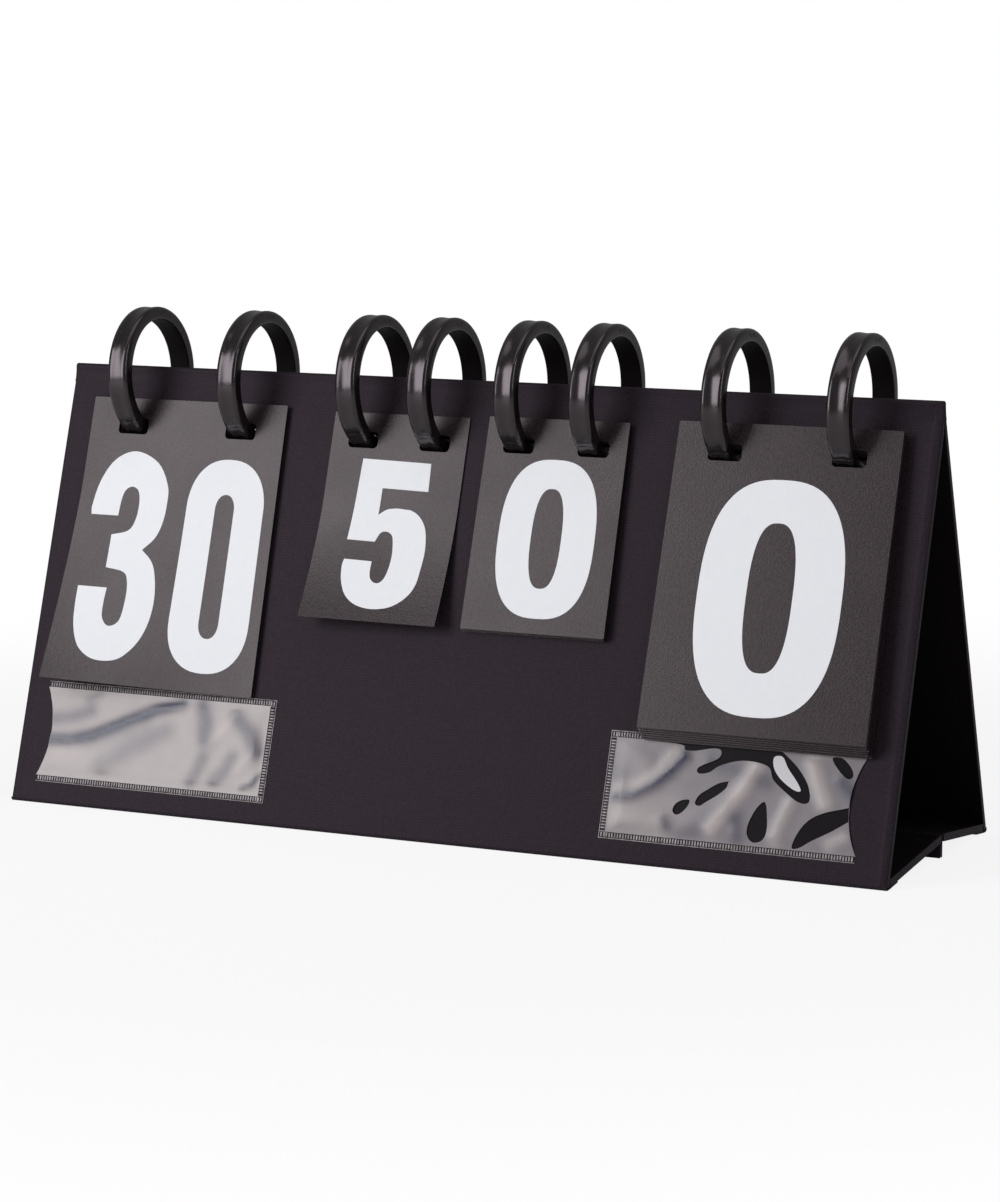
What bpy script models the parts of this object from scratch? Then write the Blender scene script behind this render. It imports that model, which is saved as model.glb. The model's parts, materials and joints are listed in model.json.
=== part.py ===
"""A tabletop flip scoreboard: two cloth-covered boards stand as an A on a folding base, and eight
plastic rings over their joined top edge carry two sets of large score leaves and two of small ones.

Metres, +Z up. The origin is under the middle of the object, on the surface it stands on. X runs along
its length, and the side that is read faces -Y.
"""
import math
from dataclasses import dataclass

import bmesh
import bpy
from mathutils import Matrix, Vector

MM = 0.001

# The frame: two panels that lean together
WIDTH = 385 * MM
SLANT = 186.6 * MM
LEAN = math.radians(18.17)
HEIGHT = SLANT * math.cos(LEAN)
HALF_DEPTH = SLANT * math.sin(LEAN)

# What a panel or a base half is made of, from its outside in
CLOTH = 0.45 * MM
BOARD = 1.9 * MM
GLUE_GAP = 0.1 * MM
PANEL = CLOTH + GLUE_GAP + BOARD + GLUE_GAP + CLOTH
SEAT_GAP = 0.15 * MM
RUNNING_GAP = 0.3 * MM

# The ridge of cloth that joins the panels at the top, and the fold there
RIDGE_WIDTH = 2.8 * MM
RIDGE_HEIGHT = 4.3 * MM
RIDGE_CLOTH = 0.6 * MM
RIDGE_ROUND = 0.5 * MM
FOLD_PIVOT_DROP = 3.0 * MM
MITRE = math.radians(5.5)
MITRE_GAP = 0.15 * MM

# The base: two halves that rise from the heels to a crease, and a keel that props the crease up
BASE_HEEL_TOP = 3.7 * MM
CREASE_Y = 4.8 * MM
CREASE_TOP = 9.25 * MM
CREASE_WIDTH = 2.8 * MM
HEEL_LAP = 8.0 * MM
HEEL_FLAT = 3.6 * MM
PANEL_FOOT = CLOTH + SEAT_GAP
KEEL_CLOTH = 0.4 * MM
TAPE = 0.6 * MM
TAPE_GAP = 0.2 * MM
TAPE_FOOT = 0.4 * MM
TAPE_HEAD = 5.6 * MM
KEEL_INSET = 0.5 * MM

# The rings, with how far each sits to the side of its leaves' slots, and how far it leans, in degrees
RING_OUTER = 27.9 * MM
RING_INNER = 22.7 * MM
RING_WIDTH = 9.0 * MM
RING_RIM = 0.9 * MM
RING_HOLLOW = 0.5 * MM
RING_EDGE = 0.8 * MM
RING_BEHIND_APEX = 4.5 * MM
RING_BELOW_APEX = 3.6 * MM
RING_STEPS = 36
RING_SHIFTS = [shift * MM for shift in (0.2, 0.7, -1.0, -1.3, -1.0, -0.9, -1.8, -1.5)]
RING_LEANS = (-1.8, 0.3, -1.4, -0.3, 0.1, 1.2, 0.2, 1.0)

# The slots that the rings pass through
PANEL_SLOT_WIDTH = 15.0 * MM
PANEL_SLOT_ROUND = 1.6 * MM
PANEL_SLOT_ROOM = 1.4 * MM
FRONT_HANG = 0.5 * MM
BACK_HANG = 1.1 * MM
SLOT_CORNER_STEPS = 2

# The leaves
SCORE_FROM_END = 58.9 * MM
SCORE_X = WIDTH / 2 - SCORE_FROM_END
SET_X = 35.3 * MM
SCORE_LEAF_WIDTH = 92.0 * MM
SCORE_LEAF_HEIGHT = 121.0 * MM
SCORE_SLOT_PITCH = 51.0 * MM
SET_LEAF_WIDTH = 61.0 * MM
SET_LEAF_HEIGHT = 86.0 * MM
SET_SLOT_PITCH = 32.4 * MM
LEAF_SLOT_HEIGHT = 6.7 * MM
LEAF = 0.3 * MM
LEAF_GAP = 0.1 * MM
STACK_TOP_OFFSET = 0.4 * MM
STACK_FOOT_OFFSET = 1.2 * MM
LONE_LEAF_OFFSET = 1.9 * MM
SET_PITCH_TOP = 0.42 * MM
SET_PITCH_FOOT = 0.6 * MM
BUNDLE_PITCH_TOP = 0.7 * MM
BUNDLE_PITCH_FOOT = 1.13 * MM
BUNDLES = 6
SET_LEAVES = 6

# The clear name windows
WINDOW_WIDTH = 108.0 * MM
WINDOW_HEIGHT = 42.0 * MM
WINDOW_MARGIN = 10.5 * MM
WINDOW_DROP = 135.3 * MM
FILM = 0.25 * MM
WINDOW_BINDING = 3.0 * MM
BINDING = 0.3 * MM

WINDOW_BOW = 5.0 * MM
WINDOW_BOW_STEPS = 8

FRONT, BACK = -1, 1


@dataclass(frozen=True)
class LeafShape:
    """A leaf's outline: its size, its two slots and how far down they lie."""

    width: float
    height: float
    pitch: float
    slot_width: float
    slot_height: float
    slot_round: float
    slot_drop: float


SCORE_LEAF = LeafShape(
    width=SCORE_LEAF_WIDTH, height=SCORE_LEAF_HEIGHT, pitch=SCORE_SLOT_PITCH,
    slot_width=14.0 * MM, slot_height=LEAF_SLOT_HEIGHT, slot_round=1.5 * MM, slot_drop=8.4 * MM,
)
SET_LEAF = LeafShape(
    width=SET_LEAF_WIDTH, height=SET_LEAF_HEIGHT, pitch=SET_SLOT_PITCH,
    slot_width=13.4 * MM, slot_height=LEAF_SLOT_HEIGHT, slot_round=1.9 * MM, slot_drop=7.8 * MM,
)


@dataclass(frozen=True)
class Finish:
    """A plain material: its colour, roughness and how clear it is."""

    name: str
    colour: tuple
    roughness: float
    alpha: float = 1.0


COVER_CLOTH = Finish("cover_cloth", (0.03, 0.027, 0.032), 0.9)
GREY_BOARD = Finish("grey_board", (0.35, 0.32, 0.28), 0.95)
LINING_CLOTH = Finish("lining_cloth", (0.025, 0.023, 0.027), 0.95)
HOOK_TAPE = Finish("hook_tape", (0.02, 0.02, 0.02), 0.7)
RING_PLASTIC = Finish("ring_plastic", (0.01, 0.01, 0.011), 0.2)
LEAF_CARD = Finish("leaf_card", (0.09, 0.085, 0.085), 0.5)
CLEAR_FILM = Finish("clear_film", (0.75, 0.75, 0.77), 0.15, 0.4)
FILM_BINDING = Finish("film_binding", (0.12, 0.12, 0.13), 0.4)


def clear_scene():
    """Removes what the scene holds."""
    for item in list(bpy.data.objects):
        bpy.data.objects.remove(item, do_unlink=True)


def material_of(finish):
    """The material of a finish, made on its first use."""
    found = bpy.data.materials.get(finish.name)
    if found:
        return found
    made = bpy.data.materials.new(finish.name)
    made.use_nodes = True
    shader = made.node_tree.nodes["Principled BSDF"]
    shader.inputs["Base Color"].default_value = (*finish.colour, 1.0)
    shader.inputs["Roughness"].default_value = finish.roughness
    shader.inputs["Alpha"].default_value = finish.alpha
    return made


def pivot(name, place):
    """An empty on a joint's axis, which carries the pieces that turn about it."""
    empty = bpy.data.objects.new(name, None)
    empty.location = place
    bpy.context.scene.collection.objects.link(empty)
    return empty


def add_object(name, mesh, finish, carrier=None, place=None):
    """Links a mesh whose points are in world space, its origin on its carrier or at a given place."""
    origin = Vector(carrier.location if carrier else place or (0, 0, 0))
    mesh.transform(Matrix.Translation(-origin))
    if finish:
        mesh.materials.append(material_of(finish))
    item = bpy.data.objects.new(name, mesh)
    bpy.context.scene.collection.objects.link(item)
    if carrier:
        item.parent = carrier
    else:
        item.location = origin
    return item


def mesh_of(name, bm):
    """A mesh from a bmesh, with its faces turned outwards."""
    bmesh.ops.recalc_face_normals(bm, faces=bm.faces)
    mesh = bpy.data.meshes.new(name)
    bm.to_mesh(mesh)
    bm.free()
    return mesh


def loft(name, first, second):
    """A closed solid between two outlines that have the same number of points."""
    bm = bmesh.new()
    ends = [[bm.verts.new(point) for point in outline] for outline in (first, second)]
    for end in ends:
        bm.faces.new(end)
    count = len(first)
    for i in range(count):
        j = (i + 1) % count
        bm.faces.new((ends[0][i], ends[0][j], ends[1][j], ends[1][i]))
    return mesh_of(name, bm)


def along_x(name, section, low_x, high_x):
    """A section of (y, z) points, drawn out along X."""
    return loft(
        name,
        [(low_x, y, z) for y, z in section],
        [(high_x, y, z) for y, z in section],
    )


def cut(item, cutter):
    """Takes a cutter's shape out of an object."""
    modifier = item.modifiers.new("cut_" + cutter.name, "BOOLEAN")
    modifier.operation = "DIFFERENCE"
    modifier.solver = "EXACT"
    modifier.object = cutter


def cutter_of(name, mesh):
    """A hidden object that only cuts others."""
    cutter = add_object(name, mesh, None)
    cutter.hide_render = True
    cutter.display_type = "WIRE"
    return cutter


def joined(name, meshes):
    """One mesh that holds several."""
    bm = bmesh.new()
    for mesh in meshes:
        bm.from_mesh(mesh)
    return mesh_of(name, bm)


def on_panel(side, down, out):
    """The (y, z) point that lies a distance down a panel's outer face from the apex, and out from it."""
    y = side * (down * math.sin(LEAN) + out * math.cos(LEAN))
    return y, HEIGHT - down * math.cos(LEAN) + out * math.sin(LEAN)


def foot_of_panel(out):
    """How far down a panel its foot lies, which is cut level just over the heel's cloth."""
    return (HEIGHT - PANEL_FOOT + out * math.sin(LEAN)) / math.cos(LEAN)


def mitre_of_panel(out):
    """How far down a panel its mitred top starts, at an offset from its outer face."""
    slope = math.tan(MITRE)
    reach = MITRE_GAP - FOLD_PIVOT_DROP * slope - out * (math.cos(LEAN) + math.sin(LEAN) * slope)
    return reach / (math.sin(LEAN) - math.cos(LEAN) * slope)


def head_of_panel():
    """How far down a panel's outer face its top edge lies, just under the ridge."""
    return (RIDGE_HEIGHT + SEAT_GAP) / math.cos(LEAN)


def panel_section(side, outer, inner):
    """The section of a panel's layer between two offsets from its outer face, with a mitred top."""
    head = head_of_panel()
    points = []
    if mitre_of_panel(outer) < head:
        top = on_panel(side, head, outer)
        drop = HEIGHT - FOLD_PIVOT_DROP - top[1]
        points += [top, (side * (MITRE_GAP + drop * math.tan(MITRE)), top[1])]
    else:
        points.append(on_panel(side, mitre_of_panel(outer), outer))
    points.append(on_panel(side, mitre_of_panel(inner), inner))
    points.append(on_panel(side, foot_of_panel(inner), inner))
    points.append(on_panel(side, foot_of_panel(outer), outer))
    return points


def ring_centre():
    """The (y, z) point on the axis of every ring."""
    return RING_BEHIND_APEX, HEIGHT - RING_BELOW_APEX


def ring_crossing(side, out, radius):
    """How far down a panel a circle about the rings' axis crosses a plane that lies off its outer face."""
    down = side * RING_BEHIND_APEX * math.sin(LEAN) + RING_BELOW_APEX * math.cos(LEAN)
    away = side * RING_BEHIND_APEX * math.cos(LEAN) - RING_BELOW_APEX * math.sin(LEAN)
    return down + math.sqrt(radius**2 - (out - away) ** 2)


def slot_outline(x, top, foot, width, rounding):
    """The outline of a slot with rounded corners, as (x, distance down the panel) points."""
    corners = (
        (x + width / 2 - rounding, foot - rounding, 0),
        (x - width / 2 + rounding, foot - rounding, 90),
        (x - width / 2 + rounding, top + rounding, 180),
        (x + width / 2 - rounding, top + rounding, 270),
    )
    points = []
    for cx, cs, start in corners:
        for step in range(SLOT_CORNER_STEPS + 1):
            angle = math.radians(start + 90 * step / SLOT_CORNER_STEPS)
            points.append((cx + rounding * math.cos(angle), cs + rounding * math.sin(angle)))
    return points


def through_panel(name, side, outline, low_out, high_out):
    """A solid whose outline lies on a panel, between two offsets from its outer face."""
    ends = []
    for out in (low_out, high_out):
        ends.append([(x, *on_panel(side, down, out)) for x, down in outline])
    return loft(name, *ends)


def slot_places():
    """The X of each pair of slots that a ring passes through, from left to right."""
    places = []
    for centre, shape in ((-SCORE_X, SCORE_LEAF), (-SET_X, SET_LEAF), (SET_X, SET_LEAF), (SCORE_X, SCORE_LEAF)):
        places += [centre - shape.pitch / 2, centre + shape.pitch / 2]
    return places


def panel_slot_cutter(side, name):
    """Cuts the slots that the rings pass through in one panel."""
    inner, outer = -PANEL, 0.0
    tops = [ring_crossing(side, out, RING_INNER) for out in (inner, outer)]
    feet = [ring_crossing(side, out, RING_OUTER) for out in (inner, outer)]
    top, foot = min(tops) - PANEL_SLOT_ROOM, max(feet) + RUNNING_GAP
    meshes = []
    for i, x in enumerate(slot_places()):
        outline = slot_outline(x, top, foot, PANEL_SLOT_WIDTH, PANEL_SLOT_ROUND)
        meshes.append(through_panel(f"{name}_{i}", side, outline, -2 * PANEL, PANEL))
    return cutter_of(name, joined(name, meshes))


def build_panel(side, label, carrier):
    """A leaning panel: its outer cloth, the board in it and the lining that faces in."""
    slots = panel_slot_cutter(side, f"{label}_slots")
    half = WIDTH / 2
    cover = add_object(
        f"{label}_cover",
        along_x(f"{label}_cover", panel_section(side, 0.0, -PANEL), -half, half),
        COVER_CLOTH,
        carrier,
    )
    inside = half - CLOTH
    deep = [
        on_panel(side, head_of_panel() - PANEL, -CLOTH),
        on_panel(side, head_of_panel() - PANEL, -2 * PANEL),
        on_panel(side, SLANT + PANEL, -2 * PANEL),
        on_panel(side, SLANT + PANEL, -CLOTH),
    ]
    pocket = cutter_of(f"{label}_pocket", along_x(f"{label}_pocket", deep, -inside, inside))
    cut(cover, pocket)
    cut(cover, slots)
    inside -= GLUE_GAP
    board_outer = -CLOTH - GLUE_GAP
    board = add_object(
        f"{label}_board",
        along_x(f"{label}_board", panel_section(side, board_outer, board_outer - BOARD), -inside, inside),
        GREY_BOARD,
        carrier,
    )
    cut(board, slots)
    lining = add_object(
        f"{label}_lining",
        along_x(f"{label}_lining", panel_section(side, -PANEL + CLOTH, -PANEL), -inside, inside),
        LINING_CLOTH,
        carrier,
    )
    cut(lining, slots)


def build_ridge():
    """The cloth that goes over the top and joins the two panels."""
    foot = HEIGHT - RIDGE_HEIGHT
    outer, inner = RIDGE_WIDTH / 2, RIDGE_WIDTH / 2 - RIDGE_CLOTH
    half = [(outer, foot), (outer, HEIGHT - RIDGE_ROUND), (outer - RIDGE_ROUND, HEIGHT)]
    section = [(-y, z) for y, z in half] + [(y, z) for y, z in reversed(half)]
    section += [(inner, foot), (inner, HEIGHT - RIDGE_CLOTH), (-inner, HEIGHT - RIDGE_CLOTH), (-inner, foot)]
    add_object("ridge_hinge_cloth", along_x("ridge_hinge_cloth", section, -WIDTH / 2, WIDTH / 2), COVER_CLOTH)


def heel_top(side):
    """The (y, z) point on a base half's heel, its upper corner, which it turns about."""
    inner_face = HALF_DEPTH - BASE_HEEL_TOP * math.tan(LEAN) - PANEL / math.cos(LEAN)
    return side * (inner_face - RUNNING_GAP), BASE_HEEL_TOP


def crease_end(side):
    """The (y, z) point on a base half's upper corner at the crease."""
    return CREASE_Y + side * CREASE_WIDTH / 2, CREASE_TOP


def base_section(side, upper, lower, overrun=0.0):
    """The section of a base half between two depths under its upper face, run on past both its ends."""
    (y0, z0), (y1, z1) = heel_top(side), crease_end(side)
    run, rise = abs(y1 - y0), z1 - z0
    length = math.hypot(run, rise)
    heel, crease = [], []
    for depth in (upper, lower):
        heel_y = y0 - side * (depth * rise - overrun * run) / length
        heel.append((heel_y, z0 - (depth * run + overrun * rise) / length))
        crease.append((y1 - side * overrun, z1 - (depth * length - overrun * rise) / run))
    return [heel[0], crease[0], crease[1], heel[1]]


def build_base_half(side, label, carrier):
    """Half of the base: its outer cloth underneath, the board in it and the lining on top."""
    half = WIDTH / 2
    cover = add_object(
        f"{label}_cover",
        along_x(f"{label}_cover", base_section(side, 0.0, PANEL), -half, half),
        COVER_CLOTH,
        carrier,
    )
    inside = half - CLOTH
    deep = base_section(side, -PANEL, PANEL - CLOTH, overrun=PANEL)
    cut(cover, cutter_of(f"{label}_pocket", along_x(f"{label}_pocket", deep, -inside, inside)))
    inside -= GLUE_GAP
    top = CLOTH + GLUE_GAP
    add_object(
        f"{label}_board",
        along_x(f"{label}_board", base_section(side, top, top + BOARD), -inside, inside),
        GREY_BOARD,
        carrier,
    )
    add_object(
        f"{label}_lining",
        along_x(f"{label}_lining", base_section(side, 0.0, CLOTH), -inside, inside),
        LINING_CLOTH,
        carrier,
    )


def build_heel_strip(side, name, carrier):
    """The cloth under a heel, which joins a panel's foot to its base half."""
    (y0, z0), (y1, z1) = base_section(side, PANEL, PANEL + CLOTH)[:2]
    rise = (z1 - z0) / (y1 - y0)
    lap_y = y0 - side * HEEL_LAP
    lap_z = z0 + rise * (lap_y - y0) - SEAT_GAP
    flat_y = side * (HALF_DEPTH - HEEL_FLAT)
    front_y = side * (HALF_DEPTH - CLOTH * math.tan(LEAN))
    section = [
        (side * HALF_DEPTH, 0.0),
        (flat_y, 0.0),
        (lap_y, lap_z - CLOTH),
        (lap_y, lap_z),
        (flat_y, CLOTH),
        (front_y, CLOTH),
    ]
    add_object(name, along_x(name, section, -WIDTH / 2, WIDTH / 2), COVER_CLOTH, carrier)


def build_keel(side, cloth_name, tape_name, carrier):
    """One side of the keel: a flap of cloth that hangs from the crease, and the tape on it."""
    end_y = crease_end(side)[0]
    reach = WIDTH / 2 - KEEL_INSET
    y0 = end_y - side * SEAT_GAP
    y1 = y0 - side * KEEL_CLOTH
    flap = [(y0, 0.0), (y0, CREASE_TOP), (y1, CREASE_TOP), (y1, 0.0)]
    add_object(cloth_name, along_x(cloth_name, flap, -reach, reach), COVER_CLOTH, carrier)
    y2 = CREASE_Y + side * TAPE_GAP / 2
    y3 = y2 + side * TAPE
    tape = [(y2, TAPE_FOOT), (y2, TAPE_HEAD), (y3, TAPE_HEAD), (y3, TAPE_FOOT)]
    add_object(tape_name, along_x(tape_name, tape, -reach, reach), HOOK_TAPE, carrier)


def ring_section():
    """A ring's section as (radius, x) points: a band with a shallow hollow between its outer rims."""
    edge = RING_WIDTH / 2
    return [
        (RING_OUTER - RING_EDGE, -edge),
        (RING_OUTER, -edge + RING_RIM),
        (RING_OUTER - RING_HOLLOW, -edge + 2.4 * RING_RIM),
        (RING_OUTER - RING_HOLLOW, edge - 2.4 * RING_RIM),
        (RING_OUTER, edge - RING_RIM),
        (RING_OUTER - RING_EDGE, edge),
        (RING_INNER + RING_EDGE, edge),
        (RING_INNER, edge - RING_EDGE),
        (RING_INNER, -edge + RING_EDGE),
        (RING_INNER + RING_EDGE, -edge),
    ]


def build_ring(number, x, lean):
    """One ring, turned about its own axis, and leaned a little to the side."""
    bm = bmesh.new()
    section = ring_section()
    rows = []
    for step in range(RING_STEPS):
        angle = 2 * math.pi * step / RING_STEPS
        row = [bm.verts.new((dx, r * math.cos(angle), r * math.sin(angle))) for r, dx in section]
        rows.append(row)
    count = len(section)
    for i, row in enumerate(rows):
        after = rows[(i + 1) % RING_STEPS]
        for j in range(count):
            k = (j + 1) % count
            bm.faces.new((row[j], row[k], after[k], after[j]))
    mesh = mesh_of(f"ring_{number}", bm)
    mesh.shade_smooth()
    mesh.set_sharp_from_angle(angle=math.radians(40))
    mesh.materials.append(material_of(RING_PLASTIC))
    ring = bpy.data.objects.new(f"ring_{number}", mesh)
    ring.location = (x, *ring_centre())
    ring.rotation_euler = (0, math.radians(lean), 0)
    bpy.context.scene.collection.objects.link(ring)


@dataclass(frozen=True)
class Layer:
    """A leaf, or a bundle of them, as offsets of its two faces from the panel, at its top and its foot."""

    top_low: float
    top_high: float
    foot_low: float
    foot_high: float


def set_layer(place):
    """A small leaf's faces, by its place in its stack, counted from the panel."""
    top = STACK_TOP_OFFSET + place * SET_PITCH_TOP
    foot = STACK_TOP_OFFSET + place * SET_PITCH_FOOT
    return Layer(top, top + LEAF, foot, foot + LEAF)


def bundle_layer(place):
    """A bundle's faces, by its place in a large stack, counted from the panel."""
    top = STACK_TOP_OFFSET + place * BUNDLE_PITCH_TOP
    foot = STACK_FOOT_OFFSET + place * BUNDLE_PITCH_FOOT
    return Layer(top, top + BUNDLE_PITCH_TOP - LEAF_GAP, foot, foot + BUNDLE_PITCH_FOOT - LEAF_GAP)


def top_layer():
    """The faces of the single large leaf that lies over all the bundles."""
    top = STACK_TOP_OFFSET + BUNDLES * BUNDLE_PITCH_TOP
    foot = STACK_FOOT_OFFSET + BUNDLES * BUNDLE_PITCH_FOOT
    return Layer(top, top + LEAF, foot, foot + LEAF)


def lone_layer():
    """The faces of the single large leaf that lies over no other."""
    low, high = LONE_LEAF_OFFSET, LONE_LEAF_OFFSET + LEAF
    return Layer(low, high, low, high)


def build_leaf(name, side, x, shape, layer, carrier=None):
    """A leaf that hangs by its two slots on a pair of rings."""
    hang = FRONT_HANG if side == FRONT else BACK_HANG
    slot_top = min(ring_crossing(side, out, RING_INNER) for out in (layer.top_low, layer.top_high)) - hang
    top = slot_top - shape.slot_drop
    foot = top + shape.height
    half = shape.width / 2
    ends = []
    for at_top, at_foot in ((layer.top_low, layer.foot_low), (layer.top_high, layer.foot_high)):
        corners = ((-half, top, at_top), (half, top, at_top), (half, foot, at_foot), (-half, foot, at_foot))
        ends.append([(x + dx, *on_panel(side, down, out)) for dx, down, out in corners])
    leaf = add_object(name, loft(name, *ends), LEAF_CARD, carrier, (x, *ring_centre()))
    meshes = []
    for centre in (x - shape.pitch / 2, x + shape.pitch / 2):
        outline = slot_outline(centre, slot_top, slot_top + shape.slot_height, shape.slot_width, shape.slot_round)
        meshes.append(through_panel(f"{name}_slot", side, outline, layer.top_low - PANEL, layer.foot_high + PANEL))
    cut(leaf, cutter_of(f"{name}_slots", joined(f"{name}_slots", meshes)))


def build_leaves(back):
    """The four stacks of leaves: those of the left side are turned over to the back, all but the last."""
    build_leaf("left_score_leaf_30", FRONT, -SCORE_X, SCORE_LEAF, lone_layer())
    build_leaf("left_score_leaf_29", BACK, -SCORE_X, SCORE_LEAF, top_layer(), back)
    build_leaf("right_score_leaf_0", FRONT, SCORE_X, SCORE_LEAF, top_layer())
    for number in range(1, BUNDLES + 1):
        layer = bundle_layer(number - 1)
        build_leaf(f"left_score_bundle_{number}", BACK, -SCORE_X, SCORE_LEAF, layer, back)
        layer = bundle_layer(BUNDLES - number)
        build_leaf(f"right_score_bundle_{number}", FRONT, SCORE_X, SCORE_LEAF, layer)
    last = SET_LEAVES - 1
    build_leaf(f"left_set_leaf_{last}", FRONT, -SET_X, SET_LEAF, set_layer(0))
    for value in range(last):
        build_leaf(f"left_set_leaf_{value}", BACK, -SET_X, SET_LEAF, set_layer(value), back)
    for value in range(SET_LEAVES):
        build_leaf(f"right_set_leaf_{value}", FRONT, SET_X, SET_LEAF, set_layer(last - value))


def bowed_edge(outer, side_x, top, foot):
    """The open edge of a name window, cut in a shallow bow, as (x, distance down the panel) points."""
    points = []
    for step in range(WINDOW_BOW_STEPS + 1):
        share = 1 - 2 * step / WINDOW_BOW_STEPS
        x = outer - side_x * WINDOW_BOW * (1 - share**2)
        points.append((x, (top + foot) / 2 + share * (foot - top) / 2))
    return points


def build_window(label, side_x):
    """A clear film pocket for a name, bound on three sides and open towards the end of the board."""
    outer = side_x * (WIDTH / 2 - WINDOW_MARGIN)
    inner = outer - side_x * WINDOW_WIDTH
    top, foot = WINDOW_DROP, WINDOW_DROP + WINDOW_HEIGHT
    film = [(inner, top), (inner, foot), *bowed_edge(outer, side_x, top, foot)]
    low = SEAT_GAP
    name = f"{label}_window_film"
    add_object(name, through_panel(name, FRONT, film, low, low + FILM), CLEAR_FILM)
    edge = inner + side_x * WINDOW_BINDING
    binding = [
        (outer, top),
        (inner, top),
        (inner, foot),
        (outer, foot),
        (outer, foot - WINDOW_BINDING),
        (edge, foot - WINDOW_BINDING),
        (edge, top + WINDOW_BINDING),
        (outer, top + WINDOW_BINDING),
    ]
    low += FILM + GLUE_GAP
    name = f"{label}_window_binding"
    add_object(name, through_panel(name, FRONT, binding, low, low + BINDING), FILM_BINDING)


def main():
    """Builds the scoreboard, standing and showing 30 and 5 against 0 and 0."""
    clear_scene()
    back = pivot("frame_fold_pivot", (0, 0, HEIGHT - FOLD_PIVOT_DROP))
    front_base = pivot("front_base_pivot", (0, *heel_top(FRONT)))
    rear_base = pivot("rear_base_pivot", (0, *heel_top(BACK)))
    bpy.context.view_layer.update()
    build_panel(FRONT, "front_panel", None)
    build_panel(BACK, "back_panel", back)
    build_ridge()
    build_base_half(FRONT, "front_base", front_base)
    build_base_half(BACK, "rear_base", rear_base)
    build_heel_strip(FRONT, "front_heel_hinge_cloth", None)
    build_heel_strip(BACK, "rear_heel_hinge_cloth", back)
    build_keel(FRONT, "front_keel_flap", "hook_tape", front_base)
    build_keel(BACK, "rear_keel_flap", "loop_tape", rear_base)
    for number, (x, shift, lean) in enumerate(zip(slot_places(), RING_SHIFTS, RING_LEANS), start=1):
        build_ring(number, x + shift, lean)
    build_leaves(back)
    build_window("left", -1)
    build_window("right", 1)


main()
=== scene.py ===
"""A tabletop flip scoreboard, dressed: cloth-covered boards that stand as an A, moulded rings over their
ridge, printed plastic leaves that hang on the rings, and clear name windows welded to the front.

Metres, +Z up. X runs along the board, and the side that is read faces -Y. A place on a panel is given as
x, how far down its outer face from the apex, and how far out from that face.
"""

import json
import logging
import math
import random
from collections.abc import Callable, Sequence
from dataclasses import dataclass
from enum import Enum

import bmesh
import bpy
from mathutils import Matrix, Vector


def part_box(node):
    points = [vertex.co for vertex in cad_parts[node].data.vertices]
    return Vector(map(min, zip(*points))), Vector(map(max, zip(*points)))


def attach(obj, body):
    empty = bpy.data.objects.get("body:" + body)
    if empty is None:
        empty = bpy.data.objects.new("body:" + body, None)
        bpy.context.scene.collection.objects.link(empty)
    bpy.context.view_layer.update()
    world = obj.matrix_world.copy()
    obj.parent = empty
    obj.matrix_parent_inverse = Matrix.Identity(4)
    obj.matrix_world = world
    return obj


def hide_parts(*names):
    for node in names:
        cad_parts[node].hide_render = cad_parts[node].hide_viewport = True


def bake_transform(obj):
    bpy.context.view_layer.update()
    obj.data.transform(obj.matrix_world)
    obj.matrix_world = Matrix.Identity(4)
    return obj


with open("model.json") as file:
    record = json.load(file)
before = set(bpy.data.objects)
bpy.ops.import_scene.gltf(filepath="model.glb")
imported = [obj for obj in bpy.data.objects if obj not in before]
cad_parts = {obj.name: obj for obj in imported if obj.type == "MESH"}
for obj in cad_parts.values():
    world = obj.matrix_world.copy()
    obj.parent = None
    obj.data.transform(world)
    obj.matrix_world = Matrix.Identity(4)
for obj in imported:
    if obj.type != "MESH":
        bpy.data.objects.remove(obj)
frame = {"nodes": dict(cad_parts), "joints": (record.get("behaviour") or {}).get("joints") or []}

MM = 0.001
SHADE = "fold_shade"  # a point attribute of the film: the painted shade of its folds
WAVE_PERIOD = math.pi / 10  # a band of Blender's wave texture, in its own units at scale 1
WHITE = "#FFFFFF"
ON_A_CUT = 1e-7  # points nearer than this to a cut lie on it
WORN_ANGLE = 40.0  # degrees between two faces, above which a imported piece's edge is worn round
CLOTH_STEP = 12 * MM  # between the stations of a cloth that runs the board's length
CLOTH_SHARP = 50.0  # degrees, above which an edge of folded cloth stays sharp
log = logging.getLogger("scoreboard")

Pair = tuple[float, float]
Loop = list[Pair]  # a line of points, each an x and a place down the panel, or a y and a z
Placer = Callable[[float, float, float], Vector]
Mesh = bpy.types.Mesh
Node = bpy.types.Node
Socket = bpy.types.NodeSocket
Tree = bpy.types.NodeTree


class Side(Enum):
    """A side of the board, by the direction in Y that its outer face looks."""

    FRONT = -1
    BACK = 1


class Slot(Enum):
    """The record's material slots."""

    COVER = "cover_cloth"
    BOARD = "grey_board"
    LINING = "lining_cloth"
    TAPE = "hook_tape"
    RING = "ring_plastic"
    LEAF = "leaf_card"
    FILM = "clear_film"
    BINDING = "film_binding"


def linear(code: str) -> tuple[float, float, float, float]:
    """Turns an sRGB colour into the linear one that Blender's shaders take.

    Args:
        code: The colour as #RRGGBB.

    Returns:
        Its linear red, green and blue, and an alpha of 1.
    """
    parts = [int(code[i:i + 2], 16) / 255 for i in (1, 3, 5)]
    turned = [c / 12.92 if c <= 0.04045 else ((c + 0.055) / 1.055) ** 2.4 for c in parts]
    return (*turned, 1.0)


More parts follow.
